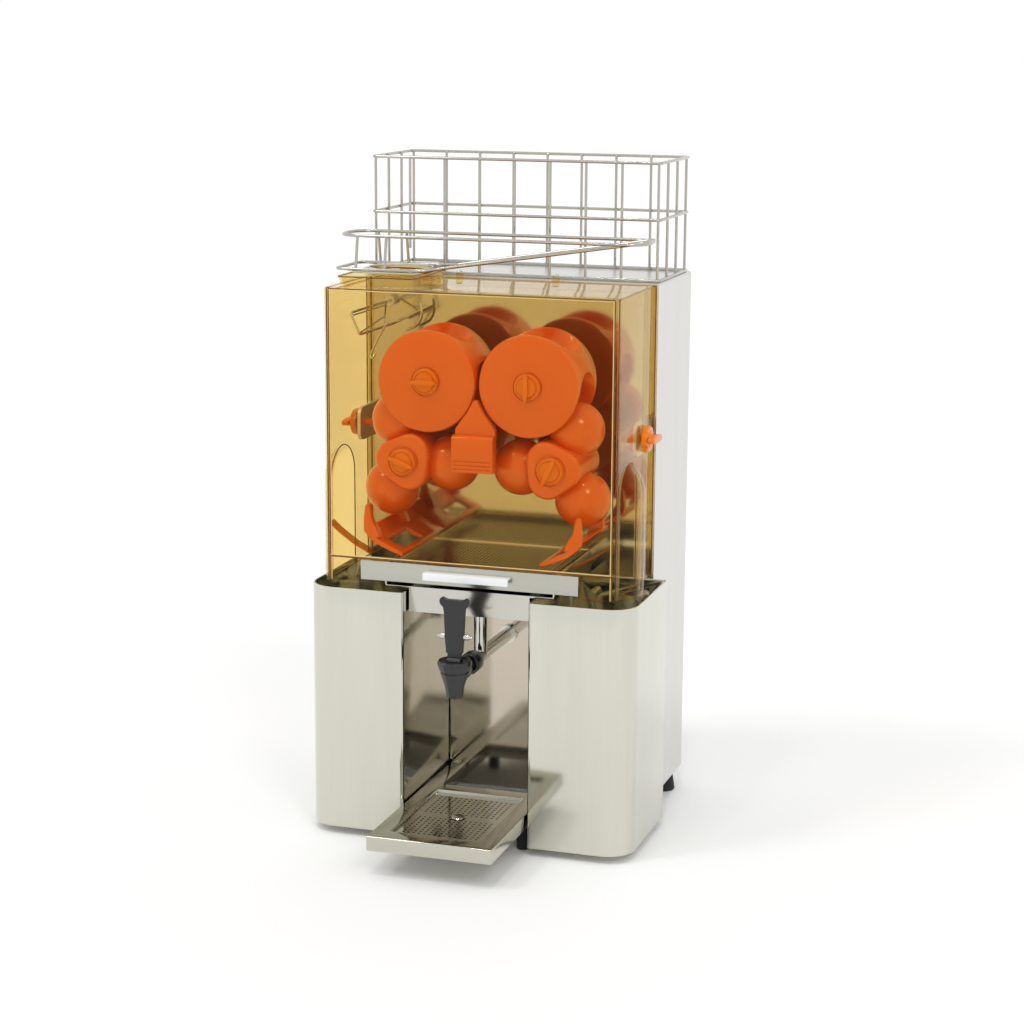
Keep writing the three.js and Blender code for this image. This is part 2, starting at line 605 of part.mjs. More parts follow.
function makeLockKnob({ name, x, z }, tilt) {
  const back = drumFront;
  const cap = rodY(x, z, back - lockKnob.thickness, back, lockKnob.radius, 20);
  const from = back - lockKnob.thickness - lockKnob.barHeight;
  const shape = handle(x, z, lockKnob.barLength, lockKnob.barWidth, tilt);
  const bar = prism(shape, from, back - lockKnob.thickness + weld, 'y');
  addPart(`${name}_lock_knob`, knobOrange, joined([cap, bar]));
}

// Knife block with its blade, peel forks, deflectors and feed gate
function makeKnife() {
  const back = drumFront - knife.gap;
  const front = back - knife.thickness;
  const base = floorZ + knife.bottom;
  const right = [[knife.halfWidth, base], [knife.halfWidth, base + knife.plateRise],
    [knife.neckHalf, base + knife.neckRise], [knife.tipHalf, base + knife.rise]];
  const left = right.map(([x, z]) => [-x, z]).reverse();
  const head = prism(polygon([...right, ...left]), front, back, 'y');
  const spine = box(-knife.spine, knife.spine, back - overrun, face, base, base + knife.spineRise);
  const cutters = [];
  for (let i = 1; i <= knife.grooves; i += 1) {
    const z = base + i * knife.groovePitch;
    cutters.push(box(-knife.halfWidth + knife.groovePitch, knife.halfWidth - knife.groovePitch, front - overrun,
      front + knife.groove, z, z + knife.groove));
  }
  const slotTop = base + knife.spineRise;
  const slotBottom = base + knife.spineRise / 2;
  const bladeTop = base + knife.bladeRise;
  cutters.push(box(-knife.blade / 2, knife.blade / 2, back, face + overrun, slotBottom, slotTop + overrun));
  addPart('knife_block', orange, without(joined([head, spine]), cutters));
  const side = polygon([
    [back + seatGap, slotBottom + seatGap], [face - seatGap, slotBottom + seatGap],
    [face - seatGap, slotTop], [face - knife.thickness, bladeTop], [back + seatGap, bladeTop],
  ]);
  const bladeHalf = knife.blade / 2 - runGap;
  addPart('knife_blade', gearSteel, prism(side, -bladeHalf, bladeHalf, 'x'));
}

function makeFork(side, name) {
  const t = fork.thickness;
  const base = floorZ + fork.bottom;
  const bendZ = base + fork.bendRise;
  const edge = base + fork.edgeRise;
  const tip = base + fork.prongRise;
  const place = (points) => polygon(points.map(([x, z]) => [side * x, z]));
  const front = coverFront + fork.frontGap;
  const plate = prism(place([[fork.root, base], [fork.bend, bendZ], [fork.outer, edge], [fork.outer - t, edge],
    [fork.bend - t / 2, bendZ + t], [fork.root, base + t]]), front, face, 'y');
  const prongShape = place([[fork.bend - t, bendZ], [fork.bend, bendZ], [fork.outer, edge - t], [fork.outer,
    tip - fork.prong],
    [fork.outer - t / 2, tip], [fork.outer - fork.prongTip, tip], [fork.outer - fork.prong,
      tip - fork.prong * 2],
    [fork.bend - t / 2, edge]]);
  const rearProng = drumMid + dome.radius + fork.domeGap;
  const prongs = [front, rearProng].map((y) => prism(prongShape, y, y + fork.prongDepth, 'y'));
  const near = fork.root + fork.windowInset;
  const [low, high] = [side * near, side * (near + fork.windowWidth)].sort((p, q) => p - q);
  const window = box(low, high, front + fork.prongDepth + fork.windowGap, rearProng - fork.windowGap,
    base - t, tip);
  addPart(name, orange, joined([plate.subtract(window), ...prongs]));
}

// Sloped strip bonded inside the cover, which leads drips to the drawer
function makeDeflector(side, name) {
  const t = deflector.thickness;
  const base = floorZ + deflector.bottom;
  const outer = [coverHalf - cover.wall - deflector.inset, base + deflector.outerRise];
  const bend = [coverHalf - deflector.bend, base + deflector.bendRise];
  const inner = [coverHalf - deflector.inner, base];
  const under = ([x, z]) => [x, z + t];
  const points = [inner, bend, outer, under(outer), under(bend), under(inner)];
  const front = coverFront + cover.wall;
  const shape = polygon(points.map(([x, z]) => [side * x, z]));
  addPart(name, amber, prism(shape, front, front + deflector.depth, 'y'));
}

function makeGate() {
  const front = coverFront + gate.frontGap;
  const rearRod = face - gate.bossLength;
  const pivot = (y) => vec(-gateX, y, floorZ + gate.pivotZ);
  const bar = (y) => vec(-gateX + gate.barIn, y, floorZ + gate.pivotZ - gate.barDrop);
  const barEnd = rearRod - gate.bossRadius * 2;
  const arm = vec(-gateX + gate.armIn, barEnd, floorZ + gate.pivotZ - gate.armDrop);
  const finger = vec(-gateX - gate.fingerOut, barEnd, floorZ + gate.pivotZ - gate.fingerDrop);
  const frame = wirePath([pivot(rearRod), pivot(front), bar(front), bar(barEnd), arm], gate.wire);
  const tail = wirePath([bar(barEnd), finger], gate.wire);
  addPart('feed_gate', wireSteel, joined([frame, tail]));
}

// Amber cover with its blisters and feed collar, clamp knobs and tabs
function blisterRod(side, radius) {
  const y = coverFront + blister.setBack;
  const bottomX = coverHalf + blister.proud - blister.radius;
  const apexX = coverHalf - blister.radius;
  const lean = (bottomX - apexX) / blister.apex;
  const low = coverBottom - blister.radius;
  const high = coverBottom + blister.apex + blister.radius;
  const xAt = (z) => side * (bottomX - (z - coverBottom) * lean);
  return rod(vec(xAt(low), y, low), vec(xAt(high), y, high), radius, 28);
}

function makeCover() {
  const wall = cover.wall;
  const r = cover.frontRadius;
  const outline = rounded(-coverHalf, coverFront, coverHalf, coverBack, [r, r, 0, 0]);
  const inline = rounded(-coverHalf + wall, coverFront + wall, coverHalf - wall, coverBack + overrun,
    [r - wall, r - wall, 0, 0]);
  const flangeHalf = casing.width / 2;
  const flange = box(-flangeHalf, flangeHalf, coverBack - cover.flange, coverBack, coverBottom, coverTop);
  const collarTop = coverTop + collar.height;
  const collarFront = coverFront + collar.setBack;
  // Flared square funnel, drawn from below the cover's roof so that it cuts the roof open
  const funnel = (inset) => {
    const half = collar.halfWidth - inset;
    const low = coverTop - wall - (inset ? overrun : 0);
    const high = collarTop + (inset ? overrun : 0);
    const shape = polygon([[-half, low], [half, low], [half, coverTop], [half + collar.flare, high],
      [-half - collar.flare, high], [-half, coverTop]].map(([x, z]) => [x - collarX, z]));
    return prism(shape, collarFront + inset, collarFront + collar.depth - inset, 'y');
  };
  const outer = joined([
    prism(outline, coverBottom - overrun, coverTop, 'z', 3), flange, funnel(0),
    blisterRod(-1, blister.radius), blisterRod(1, blister.radius),
  ]);
  const inner = joined([
    prism(inline, coverBottom - overrun * 3, coverTop - wall, 'z', 3),
    blisterRod(-1, blister.radius - wall), blisterRod(1, blister.radius - wall),
  ]);
  const cuts = [
    inner,
    funnel(collar.wall),
    box(-coverHalf * 2, coverHalf * 2, coverFront - overrun, coverBack + overrun,
      coverBottom - blister.radius * 2, coverBottom),
    box(-coverCut.halfWidth, coverCut.halfWidth, coverFront - overrun, coverFront + wall + overrun,
      coverBottom - overrun, coverBottom + coverCut.height),
  ];
  for (const side of [-1, 1]) {
    const y = coverFront + notch.setBack;
    const z = floorZ + notch.height;
    const [near, far] = [side * (coverHalf - wall * 2), side * (flangeHalf + overrun)].sort((a, b) => a - b);
    cuts.push(rodX(y, z, near, far, notch.radius, 16));
    cuts.push(box(near, far, y, coverBack + overrun, z - notch.radius, z + notch.radius));
    const [skin, rim] = [side * coverHalf, side * (flangeHalf + overrun)].sort((a, b) => a - b);
    cuts.push(box(skin, rim, y, coverBack + overrun, z - notch.knobHalf, z + notch.knobHalf));
  }
  const studs = [-1, 1].map((side) => rodZ(side * stud.spread, coverBack - stud.inset, coverTop - wall / 2,
    coverTop + stud.height, stud.radius, 12));
  addPart('front_cover', amber, joined([without(outer, cuts), ...studs]));
}

// Welded ear of the bulkhead that a clamp knob turns in
function clampTab(side) {
  const y = coverFront + notch.setBack;
  const z = floorZ + notch.height;
  const tabOut = side * (coverHalf - cover.wall - seatGap);
  const [low, high] = [tabOut - side * tabs.thickness, tabOut].sort((a, b) => a - b);
  const half = tabs.height / 2;
  const ear = rounded(y - half, z - half, face + weld, z + half, [half / 2, 0, 0, half / 2]);
  const hole = rodX(y, z, low - overrun, high + overrun, runRadius(clampKnob.stemRadius), runSides);
  return prism(ear, low, high, 'x', 2).subtract(hole);
}

function makeClamp(side, name) {
  const y = coverFront + notch.setBack;
  const z = floorZ + notch.height;
  const wallOut = side * (coverHalf + seatGap);
  const tabIn = side * (coverHalf - cover.wall - seatGap - tabs.thickness);
  const capEnd = wallOut + side * clampKnob.thickness;
  const stemEnd = tabIn - side * tabs.thickness;
  const cap = rodX(y, z, wallOut, capEnd, clampKnob.radius, 18);
  const stem = rodX(y, z, stemEnd, wallOut + side * overrun, clampKnob.stemRadius, runSides);
  const barHalf = clampKnob.barLength / 2;
  const shape = rounded(y - barHalf, z - clampKnob.barWidth / 2, y + barHalf, z + clampKnob.barWidth / 2,
    clampKnob.barWidth / 2);
  const [barLow, barHigh] = [capEnd - side * weld, capEnd + side * clampKnob.barHeight].sort((a, b) => a - b);
  addPart(`clamp_knob_${name}`, knobOrange, joined([cap, stem, prism(shape, barLow, barHigh, 'x', 2)]));
}

// Feeding: steel ring, wire rails and wire basket
function makeFeedRing() {
  const base = coverTop + collar.height + seatGap;
  const plateTop = base + feedRing.plate;
  const outerRadius = feedHole.radius + feedRing.wall;
  const half = collar.halfWidth;
  const back = face + feedRing.tab;
  const sheet = rounded(-collarX - half, feedY - outerRadius - feedRing.margin, -collarX + half, face,
    feedRing.margin);
  const plate = prism(sheet, base, plateTop, 'z', 2);
  const tube = rodZ(feedX, feedY, base, plateTop + feedRing.lip, outerRadius, 28);
  const bore = rodZ(feedX, feedY, base - overrun, plateTop + feedRing.lip + overrun, feedHole.radius, 28);
  const tab = box(-collarX - half / 2, -collarX + half / 2, face - overrun, back, base, plateTop);
  const standoff = box(-collarX - half / 2, -collarX + half / 2, face + feedRing.margin, back, casingTop,
    plateTop);
  addPart('feed_ring', steel, joined([plate, tube, tab, standoff]).subtract(bore));
}

// Two wire loops, the lower one wide around the feed tube and rising to the upper one on the right
function makeRails() {
  const y = feedY;
  const r = rails.radius;
  const low = coverTop + collar.height + seatGap + feedRing.plate;
  const high = casingTop + rails.height;
  const [left, right] = [-casing.width / 2 - rails.leftOver, casing.width / 2 + rails.rightOver];
  const cut = rails.half / 3;
  const guard = prism(wireRing(left + r, y - rails.half, right - r, y + rails.half, cut, r), high - r,
    high + r);
  const wide = feedX + rails.trackHalf;
  const edge = (grow, side) => [[left + r - grow, y + side * (rails.trackHalf - cut)],
    [left + r - grow + cut, y + side * (rails.trackHalf + grow)], [wide, y + side * (rails.trackHalf + grow)],
    [-rails.neckX, y + side * (rails.trackNeck + grow)], [right - r + grow,
      y + side * (rails.trackNeck + grow)]];
  const plan = polygon([...edge(r, -1), ...edge(r, 1).reverse()]);
  plan.holes.push(polygon([...edge(-r, -1), ...edge(-r, 1).reverse()]));
  const rise = polygon([[left - overrun, low], [wide, low], [right + overrun, high], [right + overrun,
    high + r * 2],
    [wide, low + r * 2], [left - overrun, low + r * 2]]);
  const track = prism(plan, low - overrun, high + rails.half).intersect(prism(rise, y - rails.half * 2,
    y + rails.half * 2, 'y'));
  const posts = [rails.frontPost, rails.rearPost].flatMap((dx) => [-1, 1].map((side) => {
    const inset = side * (rails.trackHalf - rails.half);
    return rod(vec(feedX - dx, y + side * rails.half + inset, low + r), vec(feedX - dx,
      y + side * rails.half, high), r * rails.postShare);
  }));
  addPart('feed_rails', wireSteel, joined([guard, track, ...posts]));
}

function makeBasket() {
  const r = basket.ringRadius;
  const x = casing.width / 2 - basket.inset - r;
  const front = face + basket.front;
  const back = face + basket.back;
  const p = basket.postRadius;
  const inset = r + p - basket.cross;
  const low = casingTop + r;
  const top = casingTop + basket.height - r;
  const mid = casingTop + basket.midHeight;
  const pitch = 2 * (x - inset) / basket.bays;
  const openTo = -x + inset + pitch * 2;
  const wires = [low, mid, top].map((z) => {
    const ring = prism(wireRing(-x, front, x, back, r * 2, r), z - r, z + r);
    return z > low ? ring : ring.subtract(box(-x + r * 2, openTo - r, front - r * 2, front + r * 2,
      z - r * 2, z + r * 2));
  });
  const post = (px, py, from) => wires.push(box(px - p, px + p, py - p, py + p, from, top + p));
  for (let i = 0; i <= basket.bays; i += 1) {
    const px = -x + inset + i * pitch;
    post(px, back - inset, low - p);
    post(px, front + inset, i === basket.shortPost ? casingTop + basket.shortHeight : low - p);
  }
  const sidePitch = (back - front - 2 * inset) / basket.sideBays;
  for (let i = 1; i < basket.sideBays; i += 1) {
    for (const side of [-1, 1]) post(side * (x - inset), front + inset + i * sidePitch, low - p);
  }
  addPart('orange_basket', wireSteel, joined(wires));
}

// Peel bins hang on two pins of the bulkhead each
const binPinPlaces = (side) => [bin.inner + binPin.inset, casing.width / 2 - binPin.edge].map((x) => side * x);

function makeBin(side, name) {
  const w = bin.wall;
  const back = face - seatGap;
  const r = bin.outerRadius;
  const s = bin.innerRadius;
  const span = side > 0 ? [bin.inner, bin.outer] : [-bin.outer, -bin.inner];
  const radii = side > 0 ? [s, r, s, s] : [r, s, s, s];
  const inRadii = radii.map((radius) => radius - w);
  const outer = prism(rounded(span[0], binFront, span[1], back, radii), bin.bottom, bin.top, 'z', 4);
  const inner = prism(rounded(span[0] + w, binFront + w, span[1] - w, back - w, inRadii),
    bin.bottom + bin.floor,
    bin.top + overrun, 'z', 4);
  const eyes = binPinPlaces(side).map((x) => rodY(x, bin.top - binPin.drop, back - w - overrun, back + overrun,
    binPin.radius + seatGap, 12));
  addPart(`peel_bin_${name}`, steel, without(outer, [inner, ...eyes]));
}

// Juice path: housing, drawer, filter, pull, pipe, tap and lever
function makeHousing() {
  const w = housing.wall;
  const front = coverFront + drawer.plate + seatGap;
  const bottom = floorZ + housing.bottom;
  const shelfBottom = floorZ + housing.shelfBottom;
  const top = floorZ + housing.top;
  const sump = box(-housing.halfWidth, housing.halfWidth, front, face, bottom, shelfBottom + w);
  const sumpHollow = box(-housing.halfWidth + w, housing.halfWidth - w, front + w, face - w, bottom + w,
    shelfBottom + w + overrun);
  const shelf = box(-housing.shelfHalf, housing.shelfHalf, front, face, shelfBottom, top);
  const shelfHollow = box(-housing.shelfHalf + w, housing.shelfHalf - w, front - overrun, face - w,
    shelfBottom + w, top + overrun);
  const y = coverFront + pipe.branch;
  const outlet = rodZ(0, y, bottom - overrun, bottom + w + overrun, pipe.bore, 16);
  const body = without(joined([sump, shelf]), [shelfHollow, sumpHollow, outlet]);
  addPart('juice_housing', mirror, body);
}

function makeDrawer() {
  const w = drawer.wall;
  const front = coverFront;
  const pan0 = floorZ + drawer.bottom;
  const panTop = floorZ + drawer.panTop;
  const plate = box(-drawer.frontHalf, drawer.frontHalf, front, front + drawer.plate, pan0,
    floorZ + drawer.top);
  const back = face - drawer.backGap;
  const pan = box(-drawer.panHalf, drawer.panHalf, front + drawer.plate - weld, back, pan0, panTop);
  const hollow = box(-drawer.panHalf + w, drawer.panHalf - w, front + drawer.plate + w, back - w, pan0 + w,
    panTop + overrun);
  const drain = rodZ(0, coverFront + pipe.branch, pan0 - overrun, pan0 + w + overrun, pipe.radius, 16);
  addPart('juice_drawer', steel, without(joined([plate, pan]), [hollow, drain]));
  const mid = floorZ + (drawer.bottom + drawer.top) / 2;
  const side = polygon([
    [front - pull.depth, mid - pull.height / 2], [front - pull.depth + pull.thickness, mid - pull.height / 2],
    [front - pull.depth + pull.thickness, mid + pull.height / 2 - pull.thickness],
    [front, mid + pull.height / 2 - pull.thickness], [front, mid + pull.height / 2],
    [front - pull.depth, mid + pull.height / 2],
  ]);
  addPart('drawer_pull', clearWhite, prism(side, -pull.halfWidth, pull.halfWidth, 'x'));
}

function makeFilter() {
  const w = drawer.wall + seatGap;
  const x = drawer.panHalf - w;
  const y0 = coverFront + drawer.plate + w;
  const y1 = face - drawer.backGap - w;
  const z1 = floorZ + drawer.panTop;
  const z0 = z1 - filter.thickness;
  const sheet = box(-x, x, y0, y1, z0, z1);
  const mid = (y0 + y1) / 2;
  const holes = [];
  for (let i = 0; i < filter.columns; i += 1) {
    for (let j = 0; j < filter.rows; j += 1) {
      const hx = (i - (filter.columns - 1) / 2) * filter.pitchX;
      const hy = mid + (j - (filter.rows - 1) / 2) * filter.pitchY;
      holes.push(box(hx - filter.length / 2, hx + filter.length / 2, hy - filter.slot / 2, hy + filter.slot / 2,
        z0 - overrun, z1 + overrun));
    }
  }
  const legs = [-1, 1].flatMap((side) => [
    box(side * x - (side > 0 ? filter.lip : 0), side * x + (side < 0 ? filter.lip : 0), y0, y1,
      floorZ + drawer.bottom + drawer.wall + seatGap, z0 + weld),
  ]);
  addPart('pulp_filter', mirror, without(joined([sheet, ...legs]), holes));
}

function makePipe() {
  const y = coverFront + pipe.branch;
  const z = floorZ + pipe.height;
  const front = coverFront + pipe.setBack;
  const top = floorZ + housing.bottom;
  const run = rodY(0, z, front, face, pipe.radius, 20);
  const riser = rodZ(0, y, z, top, pipe.radius, 20);
  const collarRing = rodY(0, z, face - pipe.collarLength, face, pipe.collar, 20);
  const collarTop = rodZ(0, y, top - pipe.collarLength, top, pipe.collar, 20);
  const bore = rodY(0, z, front - overrun, face - pipe.radius, pipe.bore, 16);
  const drop = rodZ(0, y, z, top + overrun, pipe.bore, 16);
  addPart('juice_pipe', mirror, without(joined([run, riser, collarRing, collarTop]), [bore, drop]));
}

function makeTap() {
  const y = coverFront - tap.axis;
  const z = floorZ + pipe.height;
  const top = z + tap.rise;
  const bottom = z - tap.drop;
  const capBottom = top - tap.capHeight;
  const cap = rodZ(0, y, capBottom, top, tap.bodyRadius, 20);
  const cone = rod(vec(0, y, bottom), vec(0, y, capBottom + weld), tap.spoutRadius, 20,
    tap.bodyRadius * tap.coneShare);
  const nutEnd = coverFront + pipe.setBack - seatGap;
  const neck = rodY(0, z, y, nutEnd, tap.neckRadius, 16);
  const shoulder = rodY(0, z, y, y + tap.bodyRadius + tap.shoulder, tap.neckRadius + tap.shoulder / 2, 16);
  const spout = rodZ(0, y, bottom - overrun, bottom + (capBottom - bottom) / 2, tap.bore, 12);
  const slotHalf = lever.hubHalf + seatGap;
  const slotBottom = z + lever.pivotRise - lever.hub - seatGap;
  const slot = box(-slotHalf, slotHalf, y - lever.slot, y + lever.slot, slotBottom, top + overrun);
  const bore = rodY(0, z, y, nutEnd + overrun, pipe.bore, 12);
  addPart('tap_body', black, without(joined([cap, cone, neck, shoulder]), [spout, slot, bore]));
  const nut = rodY(0, z, nutEnd - tap.nutFront, nutEnd + tap.nutRear, tap.nutRadius, 10);
  const nutBore = rodY(0, z, y, nutEnd + seatGap, tap.neckRadius + seatGap, 16);
  const nutRear = rodY(0, z, nutEnd, nutEnd + tap.nutRear + overrun, pipe.radius + seatGap, 20);
  addPart('tap_nut', black, without(nut, [nutBore, nutRear]));
}

function makeLever() {
  const y = coverFront - tap.axis;
  const pivot = floorZ + pipe.height + lever.pivotRise;
  const low = pivot + lever.neck;
  const top = floorZ + pipe.height + lever.rise;
  const t = lever.thickness / 2;
  const half = lever.width / 2;
  const waist = lever.waist / 2;
  const right = [[lever.hubHalf, pivot], [lever.hubHalf, low], [waist, low], [waist, low + lever.neck],
    [half - t, top - half], [half, top - half / 2], [half - t / 2, top - t], [half - t * 2, top]];
  const left = right.map(([x, z]) => [-x, z]).reverse();
  const blade = prism(polygon([...right, ...left]), y - t, y + t, 'y');
  const hub = rodX(y, pivot, -lever.hubHalf, lever.hubHalf, lever.hub, 16);
  addPart('tap_lever', black, joined([blade, hub]));
}

// Drip tray with its arms, grid and rubber feet
function makeDripTray() {
  const w = drip.wall;
  const bottom = floorZ + drip.bottom;
  const top = bottom + drip.height;
  const half = drip.halfWidth;
  const basinBack = trayFront + drip.frontRim + drip.pan + drip.rim;
  const basin = box(-half, half, trayFront, basinBack, bottom, top);
  const arms = [-1, 1].map((side) => {
    const [a, b] = [side * (half - drip.armWidth), side * half].sort((p, q) => p - q);
    return box(a, b, basinBack - overrun, face - seatGap, bottom, top);
  });
  const well = box(-half + drip.armWidth, half - drip.armWidth, trayFront + drip.frontRim, basinBack - drip.rim,
    bottom + drip.floor, top + overrun);
  const undersides = [];
  undersides.push(box(-half + w, half - w, trayFront + w, trayFront + drip.frontRim - w, bottom - overrun,
    top - w));
  for (const side of [-1, 1]) {
    const [a, b] = [side * (half - drip.armWidth + w), side * (half - w)].sort((p, q) => p - q);
    undersides.push(box(a, b, trayFront + w, face - seatGap - w, bottom - overrun, top - w));
  }
  addPart('drip_tray', steel, without(joined([basin, ...arms]), [well, ...undersides]));
}

function makeDripGrid() {
  const bottom = floorZ + drip.bottom;
  const top = bottom + drip.height - dripGrid.rest;
  const g = dripGrid.gap;
  const half = drip.halfWidth - drip.armWidth - g;
  const front = trayFront + drip.frontRim + g;
  const back = trayFront + drip.frontRim + drip.pan - g;
  const sheet = box(-half, half, front, back, top - dripGrid.thickness, top);
  const mid = (front + back) / 2;
  const holes = [];
  const quarter = (back - front) / 4;
  for (const group of [-1, 1]) {
    for (let j = 0; j < dripGrid.rows; j += 1) {
      const y = mid + group * quarter + (j - (dripGrid.rows - 1) / 2) * dripGrid.pitchY;
      for (const side of [-1, 1]) {
        const [a, b] = [side * dripGrid.slotWidth,
          side * (dripGrid.slotWidth + dripGrid.slotLength)].sort((p, q) => p - q);
        holes.push(box(a, b, y - dripGrid.slotWidth / 2, y + dripGrid.slotWidth / 2,
          top - dripGrid.thickness - overrun, top + overrun));
      }
    }
  }
  const legs = [-1, 1].map((side) => {
    const [a, b] = [side * half, side * (half - drip.wall)].sort((p, q) => p - q);
    return box(a, b, front, back, bottom + drip.floor + runGap, top - weld);
  });
  const dimple = rodZ(0, mid, top - weld, top + dripGrid.dimpleHeight, dripGrid.dimple, 16);
  addPart('drip_grid', steel, without(joined([sheet, ...legs, dimple]), holes));
}

function makeTrayFeet() {
  for (const [name, side] of [['left', -1], ['right', 1]]) {
    const y = coverFront + trayFoot.setBack;
    const top = floorZ + drip.bottom + drip.height - drip.wall;
    addPart(`tray_foot_${name}`, rubber, rodZ(side * (drip.halfWidth - drip.armWidth / 2), y, 0, top - runGap,
      trayFoot.radius - drip.wall, 14));
  }
}

makeCasing();
makeBulkhead();
makeRearCover();
makeGland();
makeSwitch();
makeFeet();
makeCarrier();
drumAxes.forEach(makeShaft);
makeGears();
makeGearPlate();
makeGearbox();
makeMotor();
makeControlBox();
drumAxes.slice(0, 2).forEach(makeUpperDrum);
drumAxes.slice(2).forEach(makeLowerDrum);
drumAxes.forEach((axis, i) => makeLockKnob(axis, lockTilts[i]));
makeKnife();
makeFork(-1, 'peel_fork_left');
makeFork(1, 'peel_fork_right');
makeDeflector(-1, 'deflector_left');
makeDeflector(1, 'deflector_right');
makeGate();
makeCover();
makeClamp(-1, 'left');
makeClamp(1, 'right');
makeFeedRing();
makeRails();
makeBasket();
makeBin(-1, 'left');
makeBin(1, 'right');
makeHousing();
makeDrawer();
makeFilter();
makePipe();
makeTap();
makeLever();
makeDripTray();
makeDripGrid();
makeTrayFeet();

export default model;
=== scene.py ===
import bpy
import math
from mathutils import Matrix, Vector


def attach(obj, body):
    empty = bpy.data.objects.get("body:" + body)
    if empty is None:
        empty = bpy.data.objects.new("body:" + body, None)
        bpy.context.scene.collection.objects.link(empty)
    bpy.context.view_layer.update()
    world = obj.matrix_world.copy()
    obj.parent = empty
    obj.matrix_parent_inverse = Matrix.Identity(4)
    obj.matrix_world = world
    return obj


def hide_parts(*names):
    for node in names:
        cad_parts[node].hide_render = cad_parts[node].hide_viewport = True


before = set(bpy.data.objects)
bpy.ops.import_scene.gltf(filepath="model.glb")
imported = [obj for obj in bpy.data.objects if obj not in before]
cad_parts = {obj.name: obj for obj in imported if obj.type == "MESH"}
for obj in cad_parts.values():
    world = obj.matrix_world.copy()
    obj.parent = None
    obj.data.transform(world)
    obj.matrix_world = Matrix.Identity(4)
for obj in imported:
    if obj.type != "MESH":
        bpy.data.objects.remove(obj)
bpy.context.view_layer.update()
mm = 0.001
sides = (('left', -1), ('right', 1))


# modelling tools, all places in millimetres

def sizes(values, names):
    # some values of a dictionary, in the order of their names
    return [values[name] for name in names.split()]


def around(x, z, radius, degrees):
    # the place at a distance and an angle from another one
    angle = math.radians(degrees)
    return x + radius * math.cos(angle), z + radius * math.sin(angle)


def onlyPick(*pieces):
    if bpy.context.object and bpy.context.object.mode != 'OBJECT':
        bpy.ops.object.mode_set(mode='OBJECT')
    bpy.ops.object.select_all(action='DESELECT')
    for piece in pieces:
        piece.select_set(True)
    if pieces:
        bpy.context.view_layer.objects.active = pieces[0]


def settled(name):
    piece = bpy.context.object
    piece.name = name
    bpy.ops.object.transform_apply()
    return piece


def block(name, one, other):
    # a box between two opposite corners
    size = [abs(b - a) * mm for a, b in zip(one, other)]
    middle = [(a + b) / 2 * mm for a, b in zip(one, other)]
    bpy.ops.mesh.primitive_cube_add(size=1, location=middle, scale=size)
    return settled(name)


def wideBlock(name, half, front, back, low, high):
    # a box that reaches as far to the left as to the right
    return block(name, (-half, front, low), (half, back, high))


def bar(name, start, end, radius, steps=48, endRadius=None):
    a, b = Vector(start) * mm, Vector(end) * mm
    turn = (b - a).to_track_quat('Z', 'Y').to_euler()
    bpy.ops.mesh.primitive_cone_add(vertices=steps, radius1=radius * mm, depth=(b - a).length,
                                    radius2=(radius if endRadius is None else endRadius) * mm,
                                    location=(a + b) / 2, rotation=turn)
    return settled(name)


def ball(name, centre, radius, steps):
    bpy.ops.mesh.primitive_uv_sphere_add(segments=steps, ring_count=steps // 2, radius=radius * mm,
                                         location=Vector(centre) * mm)
    return settled(name)


def apply(piece, kind, **values):
    onlyPick(piece)
    modifier = piece.modifiers.new(kind.title(), kind)
    for key, value in values.items():
        setattr(modifier, key, value)
    bpy.ops.object.modifier_apply(modifier=modifier.name)
    return piece


def carve(piece, *cutters, operation='DIFFERENCE'):
    for cutter in cutters:
        apply(piece, 'BOOLEAN', object=cutter, operation=operation, solver='MANIFOLD')
        bpy.data.objects.remove(cutter)
    return piece


def fuse(piece, *others):
    return carve(piece, *others, operation='UNION')


def gather(name, *pieces):
    onlyPick(*pieces)
    bpy.ops.object.join()
    pieces[0].name = name
    return pieces[0]


def editPicked(piece, kind, test):
    # opens a piece with the corners, edges or faces picked that pass the test
    onlyPick(piece)
    mesh = piece.data
    seen = {'VERT': (mesh.vertices, lambda corner: [corner.co / mm]),
            'EDGE': (mesh.edges, lambda edge: [mesh.vertices[i].co / mm for i in edge.vertices]),
            'FACE': (mesh.polygons, lambda face: [face.center / mm, face.normal])}
    bpy.context.tool_settings.mesh_select_mode = [kind == other for other in seen]
    for parts, places in seen.values():
        parts.foreach_set('select', [False] * len(parts))
    parts, places = seen[kind]
    for part in parts:
        part.select = test(*places(part))
    bpy.ops.object.mode_set(mode='EDIT')


def roundEdges(piece, width, segments, test):
    editPicked(piece, 'EDGE', test)
    bpy.ops.mesh.bevel(offset=width * mm, segments=segments, affect='EDGES')
    bpy.ops.object.mode_set(mode='OBJECT')
    return piece


def upright(a, b):
    return abs(a.x - b.x) < 0.01 and abs(a.y - b.y) < 0.01


def level(a, b, axis, height):
    # true for an edge that lies at one height along an axis
    return all(abs(getattr(end, axis) - height) < 0.1 for end in (a, b))


def smooth(piece, angle):
    onlyPick(piece)
    bpy.ops.object.shade_smooth_by_angle(angle=math.radians(angle))
    return piece


def soften(piece, width, segments=2, angle=35):
    # rounds every edge that is sharper than the angle
    apply(piece, 'BEVEL', width=width * mm, segments=segments, limit_method='ANGLE',
          angle_limit=math.radians(angle))
    return smooth(piece, 30)


